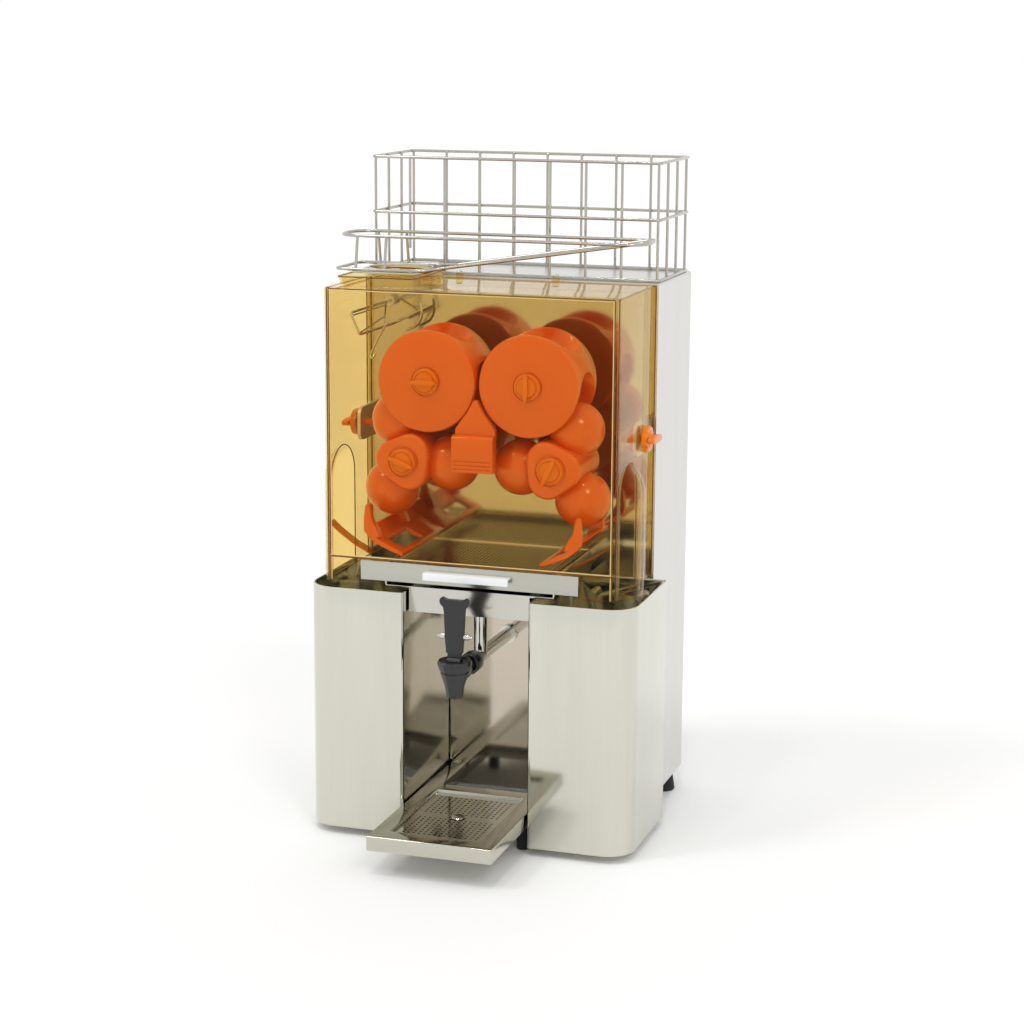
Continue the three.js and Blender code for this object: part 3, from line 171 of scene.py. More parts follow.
def chain(points):
    # corners joined by edges, left open for editing
    bpy.ops.mesh.primitive_plane_add(size=2 * mm)
    bpy.context.tool_settings.mesh_select_mode = (True, False, False)
    bpy.ops.object.mode_set(mode='EDIT')
    bpy.ops.mesh.select_all(action='SELECT')
    bpy.ops.mesh.merge(type='CENTER')
    bpy.ops.transform.translate(value=Vector(points[0]) * mm)
    for last, point in zip(points, points[1:]):
        step = (Vector(point) - Vector(last)) * mm
        bpy.ops.mesh.extrude_region_move(TRANSFORM_OT_translate={"value": step})
    return bpy.context.object


def wire(name, points, radius, corner, closed=False):
    # a round wire bent through its points
    piece = chain(points)
    ends = [Vector(points[0]), Vector(points[-1])]

    def atEnd(spot):
        return min((spot - end).length for end in ends) < 0.001

    if closed:
        editPicked(piece, 'VERT', atEnd)
        bpy.ops.mesh.edge_face_add()
    if corner:
        editPicked(piece, 'VERT', lambda spot: closed or not atEnd(spot))
        bpy.ops.mesh.bevel(offset=corner * mm, segments=5, affect='VERTICES')
    onlyPick(piece)
    bpy.ops.object.convert(target='CURVE')
    curve = bpy.context.object.data
    curve.bevel_depth = radius * mm
    curve.bevel_resolution = 3
    curve.use_fill_caps = True
    bpy.ops.object.convert(target='MESH')
    piece = bpy.context.object
    piece.name = name
    return smooth(piece, 50)


def corners(left, right, front, back, z):
    # the places of a level frame
    return [(left, front, z), (right, front, z), (right, back, z), (left, back, z)]


def turned(name, profile, centre, axis='z', steps=64):
    # a round piece spun from (radius, height) places that start and end on its axis
    piece = chain([(radius, 0, height) for radius, height in profile])
    bpy.ops.mesh.select_all(action='SELECT')
    bpy.ops.mesh.spin(steps=steps, angle=math.tau, center=(0, 0, 0), axis=(0, 0, 1))
    bpy.ops.mesh.select_all(action='SELECT')
    bpy.ops.mesh.remove_doubles(threshold=0.02 * mm)
    bpy.ops.mesh.normals_make_consistent(inside=False)
    bpy.ops.object.mode_set(mode='OBJECT')
    quarter = math.pi / 2
    piece.rotation_euler = {'z': (0, 0, 0), 'y': (-quarter, 0, 0), '-y': (quarter, 0, 0),
                            'x': (0, quarter, 0), '-x': (0, -quarter, 0)}[axis]
    piece.location = Vector(centre) * mm
    return smooth(settled(name), 30)


def spun(piece, centre, degrees, axis=(0, 1, 0)):
    # turned about a line through centre, for the y axis clockwise as seen from the front
    pivot = Matrix.Translation(Vector(centre) * mm)
    turn = Matrix.Rotation(math.radians(degrees), 4, axis)
    piece.matrix_world = pivot @ turn @ pivot.inverted() @ piece.matrix_world
    onlyPick(piece)
    bpy.ops.object.transform_apply()
    return piece


def slab(name, outline, low, high, axis='y'):
    # a plate from an outline of (across, up) places, thick along the y or x axis
    bpy.ops.mesh.primitive_circle_add(vertices=len(outline), radius=1, fill_type='NGON')
    piece = bpy.context.object
    for corner, (u, v) in zip(piece.data.vertices, outline):
        corner.co = Vector((u, low, v) if axis == 'y' else (low, u, v)) * mm
    editPicked(piece, 'FACE', lambda centre, normal: True)
    depth = (high - low) * mm
    step = (0, depth, 0) if axis == 'y' else (depth, 0, 0)
    bpy.ops.mesh.extrude_region_move(TRANSFORM_OT_translate={"value": step})
    bpy.ops.mesh.select_all(action='SELECT')
    bpy.ops.mesh.normals_make_consistent(inside=False)
    bpy.ops.object.mode_set(mode='OBJECT')
    return settled(name)


def leverOutline(u, v, long, wide, shape):
    # a lever seen flat, from one side's places in shares of half its length and width
    places = [(along * long / 2, across * wide / 2) for along, across in shape]
    return [(u + a, v - b) for a, b in places] + [(u + a, v + b) for a, b in reversed(places)]


def mirroredOutline(half):
    # both sides of an outline from its right side
    return half + [(-u, v) for u, v in reversed(half)]


def place(piece, body, material, slotName, *nodes):
    piece.name = piece.name.replace(' ', '-')
    piece.data.materials.clear()
    piece.data.materials.append(material)
    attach(piece, body)
    if nodes:
        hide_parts(*nodes)


# shader maths

class Wave:
    # one socket, so that sums of sockets read as sums
    def __init__(self, finish, socket):
        self.finish = finish
        self.socket = socket

    def __add__(self, other):
        return self.finish.maths('ADD', self, other)

    def __rsub__(self, other):
        return self.finish.maths('SUBTRACT', other, self)

    def __mul__(self, other):
        return self.finish.maths('MULTIPLY', self, other)

    def __pow__(self, other):
        return self.finish.maths('POWER', self, other)

    __radd__ = __add__
    __rmul__ = __mul__


class Finish:
    # the nodes of a material or a world
    def __init__(self, owner, shader='Principled BSDF'):
        owner.use_nodes = True
        self.owner = owner
        self.tree = owner.node_tree
        self.shader = self.tree.nodes[shader]

    def feed(self, node, values):
        for key, value in values.items():
            self.link(node.inputs[key.replace('_', ' ')], value)

    def link(self, socket, value):
        if isinstance(value, Wave):
            self.tree.links.new(value.socket, socket)
        else:
            socket.default_value = value

    def add(self, kind, settings, *values, out=0, **named):
        # the values go into the sockets in use, in their order or by name
        node = self.tree.nodes.new(kind)
        for key, value in settings.items():
            setattr(node, key, value)
        for socket, value in zip([socket for socket in node.inputs if socket.enabled], values):
            self.link(socket, value)
        self.feed(node, named)
        return Wave(self, node.outputs[out])

    def set(self, **values):
        self.feed(self.shader, values)

    def maths(self, operation, *values):
        return self.add('ShaderNodeMath', {'operation': operation}, *values)

    def objectPlace(self, stretch=(1, 1, 1)):
        spot = self.add('ShaderNodeTexCoord', {}, out='Object')
        return self.add('ShaderNodeMapping', {}, Vector=spot, Scale=stretch)

    def noise(self, scale, stretch=(1, 1, 1), detail=3.0, rough=0.5):
        return self.add('ShaderNodeTexNoise', {}, Vector=self.objectPlace(stretch), Scale=scale,
                        Detail=detail, Roughness=rough)

    def haze(self):
        return self.noise(30.0, rough=0.6)

    def passed(self, axis, start, end):
        # 0 before start and 1 after end along an axis of the object, in millimetres
        along = self.add('ShaderNodeSeparateXYZ', {}, self.objectPlace(), out=axis)
        return self.add('ShaderNodeMapRange', {}, along, start * mm, end * mm)

    def blend(self, factor, first, second):
        return self.add('ShaderNodeMix', {'data_type': 'RGBA'}, factor, first, second, out=2)

    def uneven(self, factor, base, share=0.92):
        # sinks to a share of its brightness where the factor is high
        return self.blend(factor, base, [c * share for c in base[:3]] + [1])

    def bump(self, height, strength, distance=0.0001):
        return self.add('ShaderNodeBump', {}, Strength=strength, Distance=distance, Height=height)

    def seeThrough(self, tint, factor):
        # light passes through tinted, and the gloss shows where the factor is high
        clear = self.add('ShaderNodeBsdfTransparent', {}, tint)
        mix = self.add('ShaderNodeMixShader', {}, factor, clear, Wave(self, self.shader.outputs[0]))
        self.link(self.tree.nodes['Material Output'].inputs['Surface'], mix)

    def seen(self):
        # 1 for rays from the camera, from gloss and through clear sheet, else 0
        camera, gloss, through = (self.add('ShaderNodeLightPath', {}, out=f'Is {ray} Ray')
                                  for ray in ('Camera', 'Glossy', 'Transmission'))
        return self.maths('MAXIMUM', self.maths('MAXIMUM', camera, gloss), through)


def colour(red, green, blue):
    # a screen colour from 0 to 255 as the shader wants it
    shares = [c / 255 for c in (red, green, blue)]
    return *(c / 12.92 if c <= 0.04 else ((c + 0.055) / 1.055) ** 2.4 for c in shares), 1


looks = {
    # the main colour, and the one that it drifts to
    'sheet': ((218, 217, 205), (200, 199, 188)), 'casing': ((221, 220, 216), (208, 207, 203)),
    'drawer': ((194, 193, 182), (176, 175, 166)), 'tray': ((206, 204, 191), (186, 184, 172)),
    # painted reflection: the grid's main colour is darkened for the dark surroundings that it mirrors
    'grid': ((160, 156, 140), (186, 184, 172)), 'orange': ((238, 110, 14), (228, 99, 8)),
    'knob': ((240, 136, 14), (230, 118, 8)), 'black': ((22, 22, 24), (18, 18, 20)),
    'rubber': ((24, 24, 24), (34, 34, 34)), 'cast': ((122, 127, 131), (104, 109, 113)),
    'grey': ((158, 162, 165), (146, 150, 153)), 'strip': ((246, 247, 247), (236, 238, 240)),
    # painted shade and painted highlight: the dark and pale lines along the cover's edges
    'edgeShade': ((126, 82, 34), (98, 60, 24)), 'edgeHighlight': ((252, 240, 208), (244, 226, 184)),
    'floor': ((250, 250, 249), (246, 246, 246)),
    # the wall, whose darker colour is painted reflection of the dim room, and its tabs, the strainer and its
    # hole walls, painted dark as shade, clear sheet's tint and gleam
    'wall': ((200, 190, 175), (218, 217, 205)), 'strainer': ((172, 164, 142), (34, 30, 22)),
    'amber': ((250, 241, 214), (250, 244, 230)), 'splash': ((240, 200, 140), (196, 112, 50)),
    # metals of one colour, and the painted reflection shade of the tray's flat top
    'housing': ((204, 202, 193),), 'tube': ((206, 204, 197),), 'wire': ((184, 181, 173),),
    'steel': ((160, 162, 165),), 'trayTopShade': ((160, 155, 138),),
}
tone = {name: [colour(*value) for value in values] for name, values in looks.items()}
upGrain, acrossGrain, backGrain = (700, 700, 5), (5, 700, 700), (700, 5, 700)


def brushedSheet(name, look, grain, roughness=0.2, depth=0.08, shadedTopLevel=None):
    finish = Finish(bpy.data.materials.new(name))
    lines = finish.noise(1.0, grain, 4.0, 0.65)
    clouds = finish.noise(1.0, [s ** 0.5 * 1.6 for s in grain], 2.0)
    smears = finish.noise(38.0, (1, 1, 0.35), rough=0.6)
    tinge = finish.blend(clouds * 0.6 + lines * 0.4, *tone[look])
    if shadedTopLevel is not None:
        # painted reflection: the flat top is painted darker than the sides, for the dark things that it
        # mirrors
        tinge = finish.blend(finish.passed('Z', shadedTopLevel, shadedTopLevel + 0.8), tinge, *tone['trayTopShade'])
    finish.set(Base_Color=tinge, Metallic=1.0, Normal=finish.bump(lines, depth, 0.0002),
               Roughness=lines * depth + smears * 0.06 + (roughness - 0.06))
    return finish.owner


def glossySteel(name, look, roughness, depth=0.02, tabFace=None):
    finish = Finish(bpy.data.materials.new(name))
    haze, scratches = finish.haze(), finish.noise(1.0, (900, 900, 40), 2.0)
    tinge, metal = finish.uneven(haze, tone[look][0]), 1.0
    rough = haze * depth + scratches * depth + roughness
    if tabFace is not None:
        # the tabs that stand out in front of this face are satin
        tab = finish.passed('Y', tabFace - 0.1, tabFace - 0.8)
        tinge, metal, rough = finish.blend(tab, tinge, tone[look][1]), 1.0 - tab * 0.35, rough + tab * 0.4
    finish.set(Base_Color=tinge, Metallic=metal, Roughness=rough, Normal=finish.bump(scratches, 0.03))
    return finish.owner


def strainerSheet(name, look, top):
    # painted shade: the hole walls below the top face are painted dark
    finish = Finish(bpy.data.materials.new(name))
    haze = finish.haze()
    face, hole = tone[look]
    shown = finish.passed('Z', top - 0.3, top - 0.1)
    finish.set(Base_Color=finish.blend(shown, hole, finish.uneven(haze, face)), Metallic=1.0,
               Roughness=haze * 0.06 + 0.16)
    return finish.owner


def mouldedPlastic(name, look, roughness, coat=0.0, pebble=0.04, coatRough=0.12):
    finish = Finish(bpy.data.materials.new(name))
    cloud, skin = finish.noise(14.0), finish.noise(900.0, detail=2.0)
    finish.set(Base_Color=finish.blend(cloud, *tone[look]), Normal=finish.bump(skin, pebble),
               Roughness=cloud * 0.06 + skin * 0.05 + (roughness - 0.05), Coat_Weight=coat,
               Coat_Roughness=coatRough)
    return finish.owner


def clearSheet(name, look, veil):
    # see-through, and it mirrors the room only where it is seen at a slant
    finish = Finish(bpy.data.materials.new(name))
    slant = finish.add('ShaderNodeLayerWeight', {}, Blend=0.5, out='Facing')
    haze = finish.noise(22.0, (1, 1, 0.5), 2.0)
    tint, gleam = tone[look]
    finish.set(Base_Color=finish.uneven(haze, gleam, 0.94), Metallic=1.0, Roughness=haze * 0.05 + 0.03)
    finish.seeThrough(tint, slant ** 5.0 * 0.9 + haze * 0.006 + veil)
    return finish.owner


binSheet = brushedSheet('satin sheet, upright grain', 'sheet', upGrain, 0.12, 0.04)
casingSheet = brushedSheet('casing sheet', 'casing', upGrain, 0.3)
# the tray's flat top is painted darker here, as painted reflection shade
traySheet = brushedSheet('satin sheet, level grain', 'tray', acrossGrain, 0.13, 0.05, shadedTopLevel=48.6)
drawerSheet = brushedSheet('drawer sheet', 'drawer', acrossGrain, 0.24)
ringSheet = brushedSheet('satin sheet, grain to the back', 'sheet', backGrain)
# painted reflection: the grid's darker main colour stands in for the dark surroundings that it mirrors
gridSheet = brushedSheet('grid sheet', 'grid', backGrain, 0.12, 0.05)
# painted reflection: the polished wall's darker main colour stands in for the dim room that it mirrors
wallSheet = glossySteel('polished sheet', 'wall', 0.07, tabFace=60)
# the strainer's hole walls carry painted shade
meshSheet = strainerSheet('strainer sheet', 'strainer', top=335)
housingSheet = glossySteel('housing sheet', 'housing', 0.14, 0.04)
polishedTube = glossySteel('polished tube', 'tube', 0.07)
wireSteel = glossySteel('drawn wire', 'wire', 0.14)
machinedSteel = glossySteel('machined steel', 'steel', 0.26, 0.08)
orangePlastic = mouldedPlastic('orange plastic', 'orange', 0.2, 0.6, coatRough=0.07)
knobPlastic = mouldedPlastic('knob plastic', 'knob', 0.3, 0.25)
blackPlastic = mouldedPlastic('black plastic', 'black', 0.3, 0.2)
blackRubber = mouldedPlastic('black rubber', 'rubber', 0.8, pebble=0.2)
castMetal = mouldedPlastic('painted casting', 'cast', 0.55, pebble=0.3)
greyPlastic = mouldedPlastic('grey plastic', 'grey', 0.6)
stripPlastic = mouldedPlastic('pale strip', 'strip', 0.25, 0.3)
# painted shade and painted highlight for the lines along the cover's edges
edgeShade = mouldedPlastic('amber edge', 'edgeShade', 0.2, 0.3)
edgeHighlight = mouldedPlastic('bright edge', 'edgeHighlight', 0.15, 0.3)
amberSheet = clearSheet('clear amber', 'amber', 0.002)
splashSheet = clearSheet('splash amber', 'splash', 0.3)
print('finishes done')

kept = {
    # the solids that stay in sight as they are
    'casing_shell rear_cover': casingSheet, 'bulkhead': wallSheet, 'switch_key': blackRubber,
    'cable_gland switch_frame': blackPlastic, 'bearing_carrier gear_plate gearbox motor': castMetal,
    'control_box': greyPlastic, 'knife_blade drive_pinion idler_gear': machinedSteel,
    'upper_left_shaft upper_right_shaft lower_left_shaft lower_right_shaft': machinedSteel,
    'upper_left_gear upper_right_gear lower_left_gear lower_right_gear': machinedSteel}
for names, material in kept.items():
    for name in names.split():
        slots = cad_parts[name].data.materials
        slots.clear()
        slots.append(material)


# casing feet

footPad = dict(height=22, top=13, bottom=16, x=165, front=90, rear=190)


def makeFeet():
    h, t, b = sizes(footPad, 'height top bottom')
    profile = [(0, 0), (b - 1.2, 0), (b, 1.2), (b - 0.2, 3), (t, h - 1), (t - 0.4, h), (0, h)]
    for row in ('front', 'rear'):
        for side, sign in sides:
            foot = turned(f'rubber foot {row} {side}', profile, (sign * footPad['x'], footPad[row], 0))
            place(foot, 'machine', blackRubber, 'black_rubber', f'foot_{row}_{side}')


makeFeet()


# squeezing drums

drums = dict(
    front=-67, back=15, upperX=62, upperZ=549, lowerX=90, lowerZ=453, radius=60, rim=4, domeRadius=33,
    domeCentre=47.5, domePhase=-6, pocketRadius=36.5, bore=9.1, coreCorner=35.5, coreRound=23, coreSoft=5,
    grooveDeep=1.6, upperGroove=(16.2, 17.6), lowerGroove=(17.2, 18.8),
    rolls=(-46, -34, -22, -11, 0, 11, 22, 34, 46))
stepAcross, stepDown = drums['lowerX'] - drums['upperX'], drums['upperZ'] - drums['lowerZ']
drumsApart, drumLine = math.hypot(stepAcross, stepDown), math.degrees(math.atan2(stepDown, stepAcross))


def drumAngles(sign):
    # where the lower drum's domes and the upper drum's pockets point, in degrees
    first = drums['domePhase']
    turns = [[start + i * 120 for i in range(3)] for start in (first, 2 * drumLine + 180 - first)]
    return turns if sign < 0 else [[180 - angle for angle in row] for row in turns]


def pocketPath(roll):
    # where a dome's centre stands, seen from the pocket drum, while both drums roll
    reach, s, c = drumsApart - drums['domeCentre'], math.sin(roll), math.cos(roll)
    lift, slip = drumsApart * (1 - c), (reach - drums['domeCentre']) * s
    return reach - slip * s + lift * c, -slip * c - lift * s


def makeUpperDrum(side, sign):
    x, z, front, back, r, rim, deep = sizes(drums, 'upperX upperZ front back radius rim grooveDeep')
    x *= sign
    long = back - front
    inner, outer = drums['upperGroove']
    profile = [(0, 0), (inner, 0), (inner, deep), (outer, deep), (outer, 0), (r - rim, 0),
               (r - rim * 0.3, rim * 0.3), (r, rim), (r, long - rim), (r - rim * 0.3, long - rim * 0.3),
               (r - rim, long), (0, long)]
    drum = turned(f'upper_{side} pocket drum', profile, (x, front, z), 'y', 128)
    for towards in drumAngles(sign)[1]:
        for roll in drums['rolls']:
            radial, across = pocketPath(math.radians(roll))
            px, pz = around(*around(x, z, radial, towards), across, towards + 90)
            carve(drum, ball('pocket', (px, (front + back) / 2, pz), drums['pocketRadius'], 48))
    carve(drum, bar('bore', (x, front - 1, z), (x, back + 1, z), drums['bore']))
    soften(drum, 0.7, angle=40)
    place(drum, f'upper_{side}', orangePlastic, 'orange_plastic', f'upper_{side}_drum')


def makeLowerDrum(side, sign):
    x, z, front, back, corner, bend = sizes(drums, 'lowerX lowerZ front back coreCorner coreRound')
    x *= sign
    middle = (front + back) / 2
    front += 0.3
    domes = drumAngles(sign)[0]
    outline = []
    for angle in sorted(angle % 360 for angle in domes):
        centre = around(x, z, corner - bend, angle + 60)
        outline += [around(*centre, bend, angle + 120 * i / 16) for i in range(17)]
    hub = slab(f'lower_{side} dome drum', outline, front, back)
    roundEdges(hub, drums['coreSoft'], 6, lambda a, b: level(a, b, 'y', front))
    inner, outer = drums['lowerGroove']
    groove = bar('groove', (x, front - 1, z), (x, front + drums['grooveDeep'], z), outer, 64)
    carve(hub, carve(groove, bar('groove core', (x, front - 2, z), (x, front + 3, z), inner, 64)))
    for angle in domes:
        dx, dz = around(x, z, drums['domeCentre'], angle)
        fuse(hub, ball('dome', (dx, middle, dz), drums['domeRadius'], 72))
    carve(hub, bar('bore', (x, front - 1, z), (x, back + 1, z), drums['bore']))
    smooth(hub, 32)
    place(hub, f'lower_{side}', orangePlastic, 'orange_plastic', f'lower_{side}_drum')


lock = dict(
    radius=15.5, thick=7, long=32, wide=6.6, tall=5, shape=[(-1, 0.45), (-0.3, 1), (0.75, 0.8), (1, 0.3)],
    tilt={'upper_left': 0, 'upper_right': 90, 'lower_left': -20, 'lower_right': 65})


def makeLockKnob(name, x, z):
    back = drums['front']
    r, t, long, wide, tall = sizes(lock, 'radius thick long wide tall')
    profile = [(0, 0), (r, 0), (r, t * 0.45), (r - 1, t * 0.6), (r - 2.6, t * 0.6), (r - 3, t * 0.5),
               (r - 3.6, t * 0.5), (r - 4, t * 0.7), (r - 4.6, t), (0, t)]
    knob = turned(f'{name} lock knob', profile, (x, back, z), '-y')
    lever = slab('lever', leverOutline(x, z, long, wide, lock['shape']), back - t - tall, back - t + 1)
    soften(lever, 1.2, 3, 30)
    fuse(knob, spun(lever, (x, back, z), -lock['tilt'][name]))
    smooth(knob, 32)
    place(knob, f'{name}_lock', knobPlastic, 'knob_orange', f'{name}_lock_knob')


for side, sign in sides:
    makeUpperDrum(side, sign)
    makeLowerDrum(side, sign)
    makeLockKnob(f'upper_{side}', sign * drums['upperX'], drums['upperZ'])
    makeLockKnob(f'lower_{side}', sign * drums['lowerX'], drums['lowerZ'])
print('drums done')


# knife block, peel forks, splash strips and feed gate

knife = dict(
    front=-83, plateBack=-68, back=60, wide=25, low=448, plateTop=491, topRound=6, spine=7, spineTop=496,
    blade=0.75, wedgeFront=-72, wedgeBack=-62,
    wedge=[(24.5, 488), (24, 497), (19, 504), (9.6, 516.5), (4.4, 526), (2, 531)], grooves=3,
    firstGroove=3.5, groovePitch=4.5, grooveTall=1.2, grooveDeep=1.5)


def makeKnife():
    wide, low, high, front, middle, back = sizes(knife, 'wide low plateTop front plateBack back')
    spine, spineTop, blade = sizes(knife, 'spine spineTop blade')
    plate = wideBlock('knife block', wide, front, middle, low, high)
    roundEdges(plate, knife['topRound'], 4, lambda a, b: level(a, b, 'z', high) and level(a, b, 'y', front))
    for i in range(knife['grooves']):
        z = low + knife['firstGroove'] + i * knife['groovePitch']
        carve(plate, wideBlock('groove', wide - 3, front - 1, front + knife['grooveDeep'],
                               z, z + knife['grooveTall']))
    soften(plate, 0.8, 3, 40)
    wedge = slab('wedge', mirroredOutline(knife['wedge']), knife['wedgeFront'], knife['wedgeBack'])
    rib = wideBlock('spine', spine, middle - 2, back, low, spineTop)
    fuse(plate, soften(wedge, 1, 3, 50), soften(rib, 0.8))
    carve(plate, wideBlock('slit', blade, middle, back + 1, (low + spineTop) / 2 + 0.5, spineTop + 1))
    smooth(plate, 32)
    place(plate, 'machine', orangePlastic, 'orange_plastic', 'knife_block')


fork = dict(
    front=-86, back=60, window=((90, -66), (112, 0)), tines=((-86, -76), (8, 18)),
    plate=[(84, 343), (100, 349), (118, 357), (129, 366), (133, 374), (128, 375), (123, 369), (115, 362),
           (98, 354), (84, 348)],
    tine=[(121, 364), (133, 370), (133, 385), (131, 402), (128, 404), (126, 402), (123, 385), (116, 374),
          (112, 364)])


def makeFork(side, sign):
    (inX, inY), (outX, outY) = fork['window']
    piece = slab(f'{side} peel fork', [(sign * u, v) for u, v in fork['plate']], fork['front'], fork['back'])
    carve(piece, block('window', (sign * inX, inY, 300), (sign * outX, outY, 400)))
    soften(piece, 0.8)
    for low, high in fork['tines']:
        fuse(piece, soften(slab('prong', [(sign * u, v) for u, v in fork['tine']], low, high), 1.5, 3))
    smooth(piece, 32)
    place(piece, 'machine', orangePlastic, 'orange_plastic', f'peel_fork_{side}')


strip = dict(
    front=-91, back=-76, thick=3, top=[(173.5, 381), (165, 373), (154, 365), (142, 357), (124, 348)])


def makeStrip(side, sign):
    outline = strip['top'] + [(u, v - strip['thick']) for u, v in reversed(strip['top'])]
    piece = slab(f'{side} splash strip', [(sign * u, v) for u, v in outline], strip['front'], strip['back'])
    soften(piece, 0.6)
    place(piece, 'cover', splashSheet, 'amber_clear', f'deflector_{side}')


gate = {
    # wire radius, bend radius and the places that the wire runs through
    'frame': (1.6, 5, [(-150, 50, 627), (-150, -79, 627), (-139, -79, 602), (-139, 38, 602),
                       (-104, 38, 620)]),
    'finger': (1.28, 3, [(-149.5, 36, 626), (-140, 4, 610), (-139, 0, 602), (-127, -20, 610),
                         (-139, -20, 590), (-149, -20, 569), (-145, -24, 566), (-142, -20, 572)]),
    'hook': (1.6, 6, [(-106, 38, 628), (-104, 38, 612), (-110, 38, 600), (-124, 38, 594)]),
    'link': (1.6, 0, [(-104, 38, 620), (-105, 38, 624)]),
    'upper brace': (0.96, 0, [(-149, -76, 623.5), (-149, 30, 623.5)]),
    'lower brace': (0.96, 0, [(-139, -77, 604), (-141, 8, 613)])}


def makeGate():
    wires = [wire(name, path, radius, bend) for name, (radius, bend, path) in gate.items()]
    place(gather('feed gate', *wires), 'gate', polishedTube, 'steel_wire', 'feed_gate')


makeKnife()
for side, sign in sides:
    makeFork(side, sign)
    makeStrip(side, sign)
makeGate()
print('knife, forks and gate done')


# amber cover and clamp knobs

cover = dict(
    half=178, front=-95, back=59.7, low=310.5, top=658, wall=4, corner=6, topRound=2.5, flangeHalf=182,
    flangeInner=170, flange=8, cutHalf=135, cutTop=338.5, blisterHalf=39, blisterApex=154,
    blisterProud=17.5, blisterY=-42, notchY=20, notchZ=482, notchRadius=5.2, knobHalf=20, lugX=60,
    lugY=47.7, lugRadius=4.5, lugHeight=7)
funnel = dict(x=-122, half=42, flare=6, height=11, front=-75, back=45, wall=3)
beyond = 20   # how far cutters reach past what they cut


def blister(sign, inset):
    # a bulge in the side wall, round on top
    y, half, proud, low = sizes(cover, 'blisterY blisterHalf blisterProud low')
    radius = (half * half + proud * proud) / (2 * proud)
    x, z = sign * (cover['half'] + proud - radius), low + cover['blisterApex'] - half
    dome = ball('blister top', (x, y, z), radius - inset, 96)
    return fuse(bar('blister', (x, y, low - 2 * beyond), (x, y, z), radius - inset, 96), dome)


def roundedCase(name, inset, low, high):
    half, front = cover['half'] - inset, cover['front'] + inset
    piece = wideBlock(name, half, front, cover['back'] + (5 if inset else 0), low, high)
    return roundEdges(piece, cover['corner'] - inset, 8, lambda a, b: upright(a, b) and a.y < 0)


def funnelPiece(inset):
    x, half, front, back, height = sizes(funnel, 'x half front back height')
    half -= inset
    low = cover['top'] - cover['wall'] - (2 if inset else 0)
    high = cover['top'] + height + (1 if inset else 0)
    piece = block('funnel', (x - half, front + inset, low), (x + half, back - inset, high))
    roundEdges(piece, 5 if inset else 7, 5, upright)
    editPicked(piece, 'FACE', lambda centre, normal: normal.z > 0.9)
    flare = ((half + funnel['flare']) / half, 1, 1)
    bpy.ops.transform.resize(value=flare, center_override=Vector((x, 0, high)) * mm)
    bpy.ops.object.mode_set(mode='OBJECT')
    return piece


def makeCover():
    low, top, wall, half, front, back, flange = sizes(cover, 'low top wall half front back flange')
    y, z, r, lugX, lugY = sizes(cover, 'notchY notchZ notchRadius lugX lugY')
    shell = roundedCase('amber cover', 0, low - beyond, top)
    roundEdges(shell, cover['topRound'], 4, lambda a, b: level(a, b, 'z', top) and min(a.y, b.y) < 50)
    lips = [block('lip', (s * cover['flangeInner'], back - flange, low - beyond),
                  (s * cover['flangeHalf'], back, top)) for s in (-1, 1)]
    fuse(shell, *lips, blister(-1, 0), blister(1, 0), funnelPiece(0))
    carve(shell, roundedCase('inside', wall, low - 1.5 * beyond, top - wall), blister(-1, wall),
          blister(1, wall), funnelPiece(funnel['wall']), wideBlock('under', 250, -150, 100, low - 100, low),
          wideBlock('front cut', cover['cutHalf'], front - 5, front + wall + 1, low - 5, cover['cutTop']))
    for s in (-1, 1):
        near, face, far = s * (half - 8), s * (half + 0.01), s * (half + beyond)
        carve(shell, bar('notch', (near, y, z), (far, y, z), r),
              block('slot', (near, y, z - r), (far, 80, z + r)),
              block('relief', (face, y, z - cover['knobHalf']), (far, 80, z + cover['knobHalf'])))
        fuse(shell, bar('lug', (s * lugX, lugY, top - 2), (s * lugX, lugY, top + cover['lugHeight']),
                        cover['lugRadius'], 32))
    soften(shell, 0.5, angle=50)
    place(shell, 'cover', amberSheet, 'amber_clear', 'front_cover')


screw = dict(radius=3.6, height=2.2, slot=0.9, rearY=219.9, rearX=168, rearZ=(40, 240, 440, 640))


def screwHead(centre, axis):
    r, h, slot = sizes(screw, 'radius height slot')
    profile = [(0, 0), (r, 0), (r, h * 0.4), (r * 0.8, h * 0.85), (r * 0.45, h), (r * 0.4, h - slot),
               (0, h - slot)]
    return turned('screw', profile, centre, axis, 24)


def makeScrews():
    lugTop = cover['top'] + cover['lugHeight'] - 0.1
    onCover = [screwHead((s * cover['lugX'], cover['lugY'], lugTop), 'z') for s in (-1, 1)]
    place(gather('cover screws', *onCover), 'cover', polishedTube, 'polished_steel')
    x, y, heights = sizes(screw, 'rearX rearY rearZ')
    onRear = [screwHead((s * x, y, z), 'y') for s in (-1, 1) for z in heights]
    place(gather('rear screws', *onRear), 'machine', polishedTube, 'polished_steel')


# sizes of the painted shade lines and painted highlight lines along the cover's edges
edges = dict(dark=0.7, bright=0.6, beside=1.5, inFront=0.2, darkAboveCut=1.4, brightAboveCut=3)


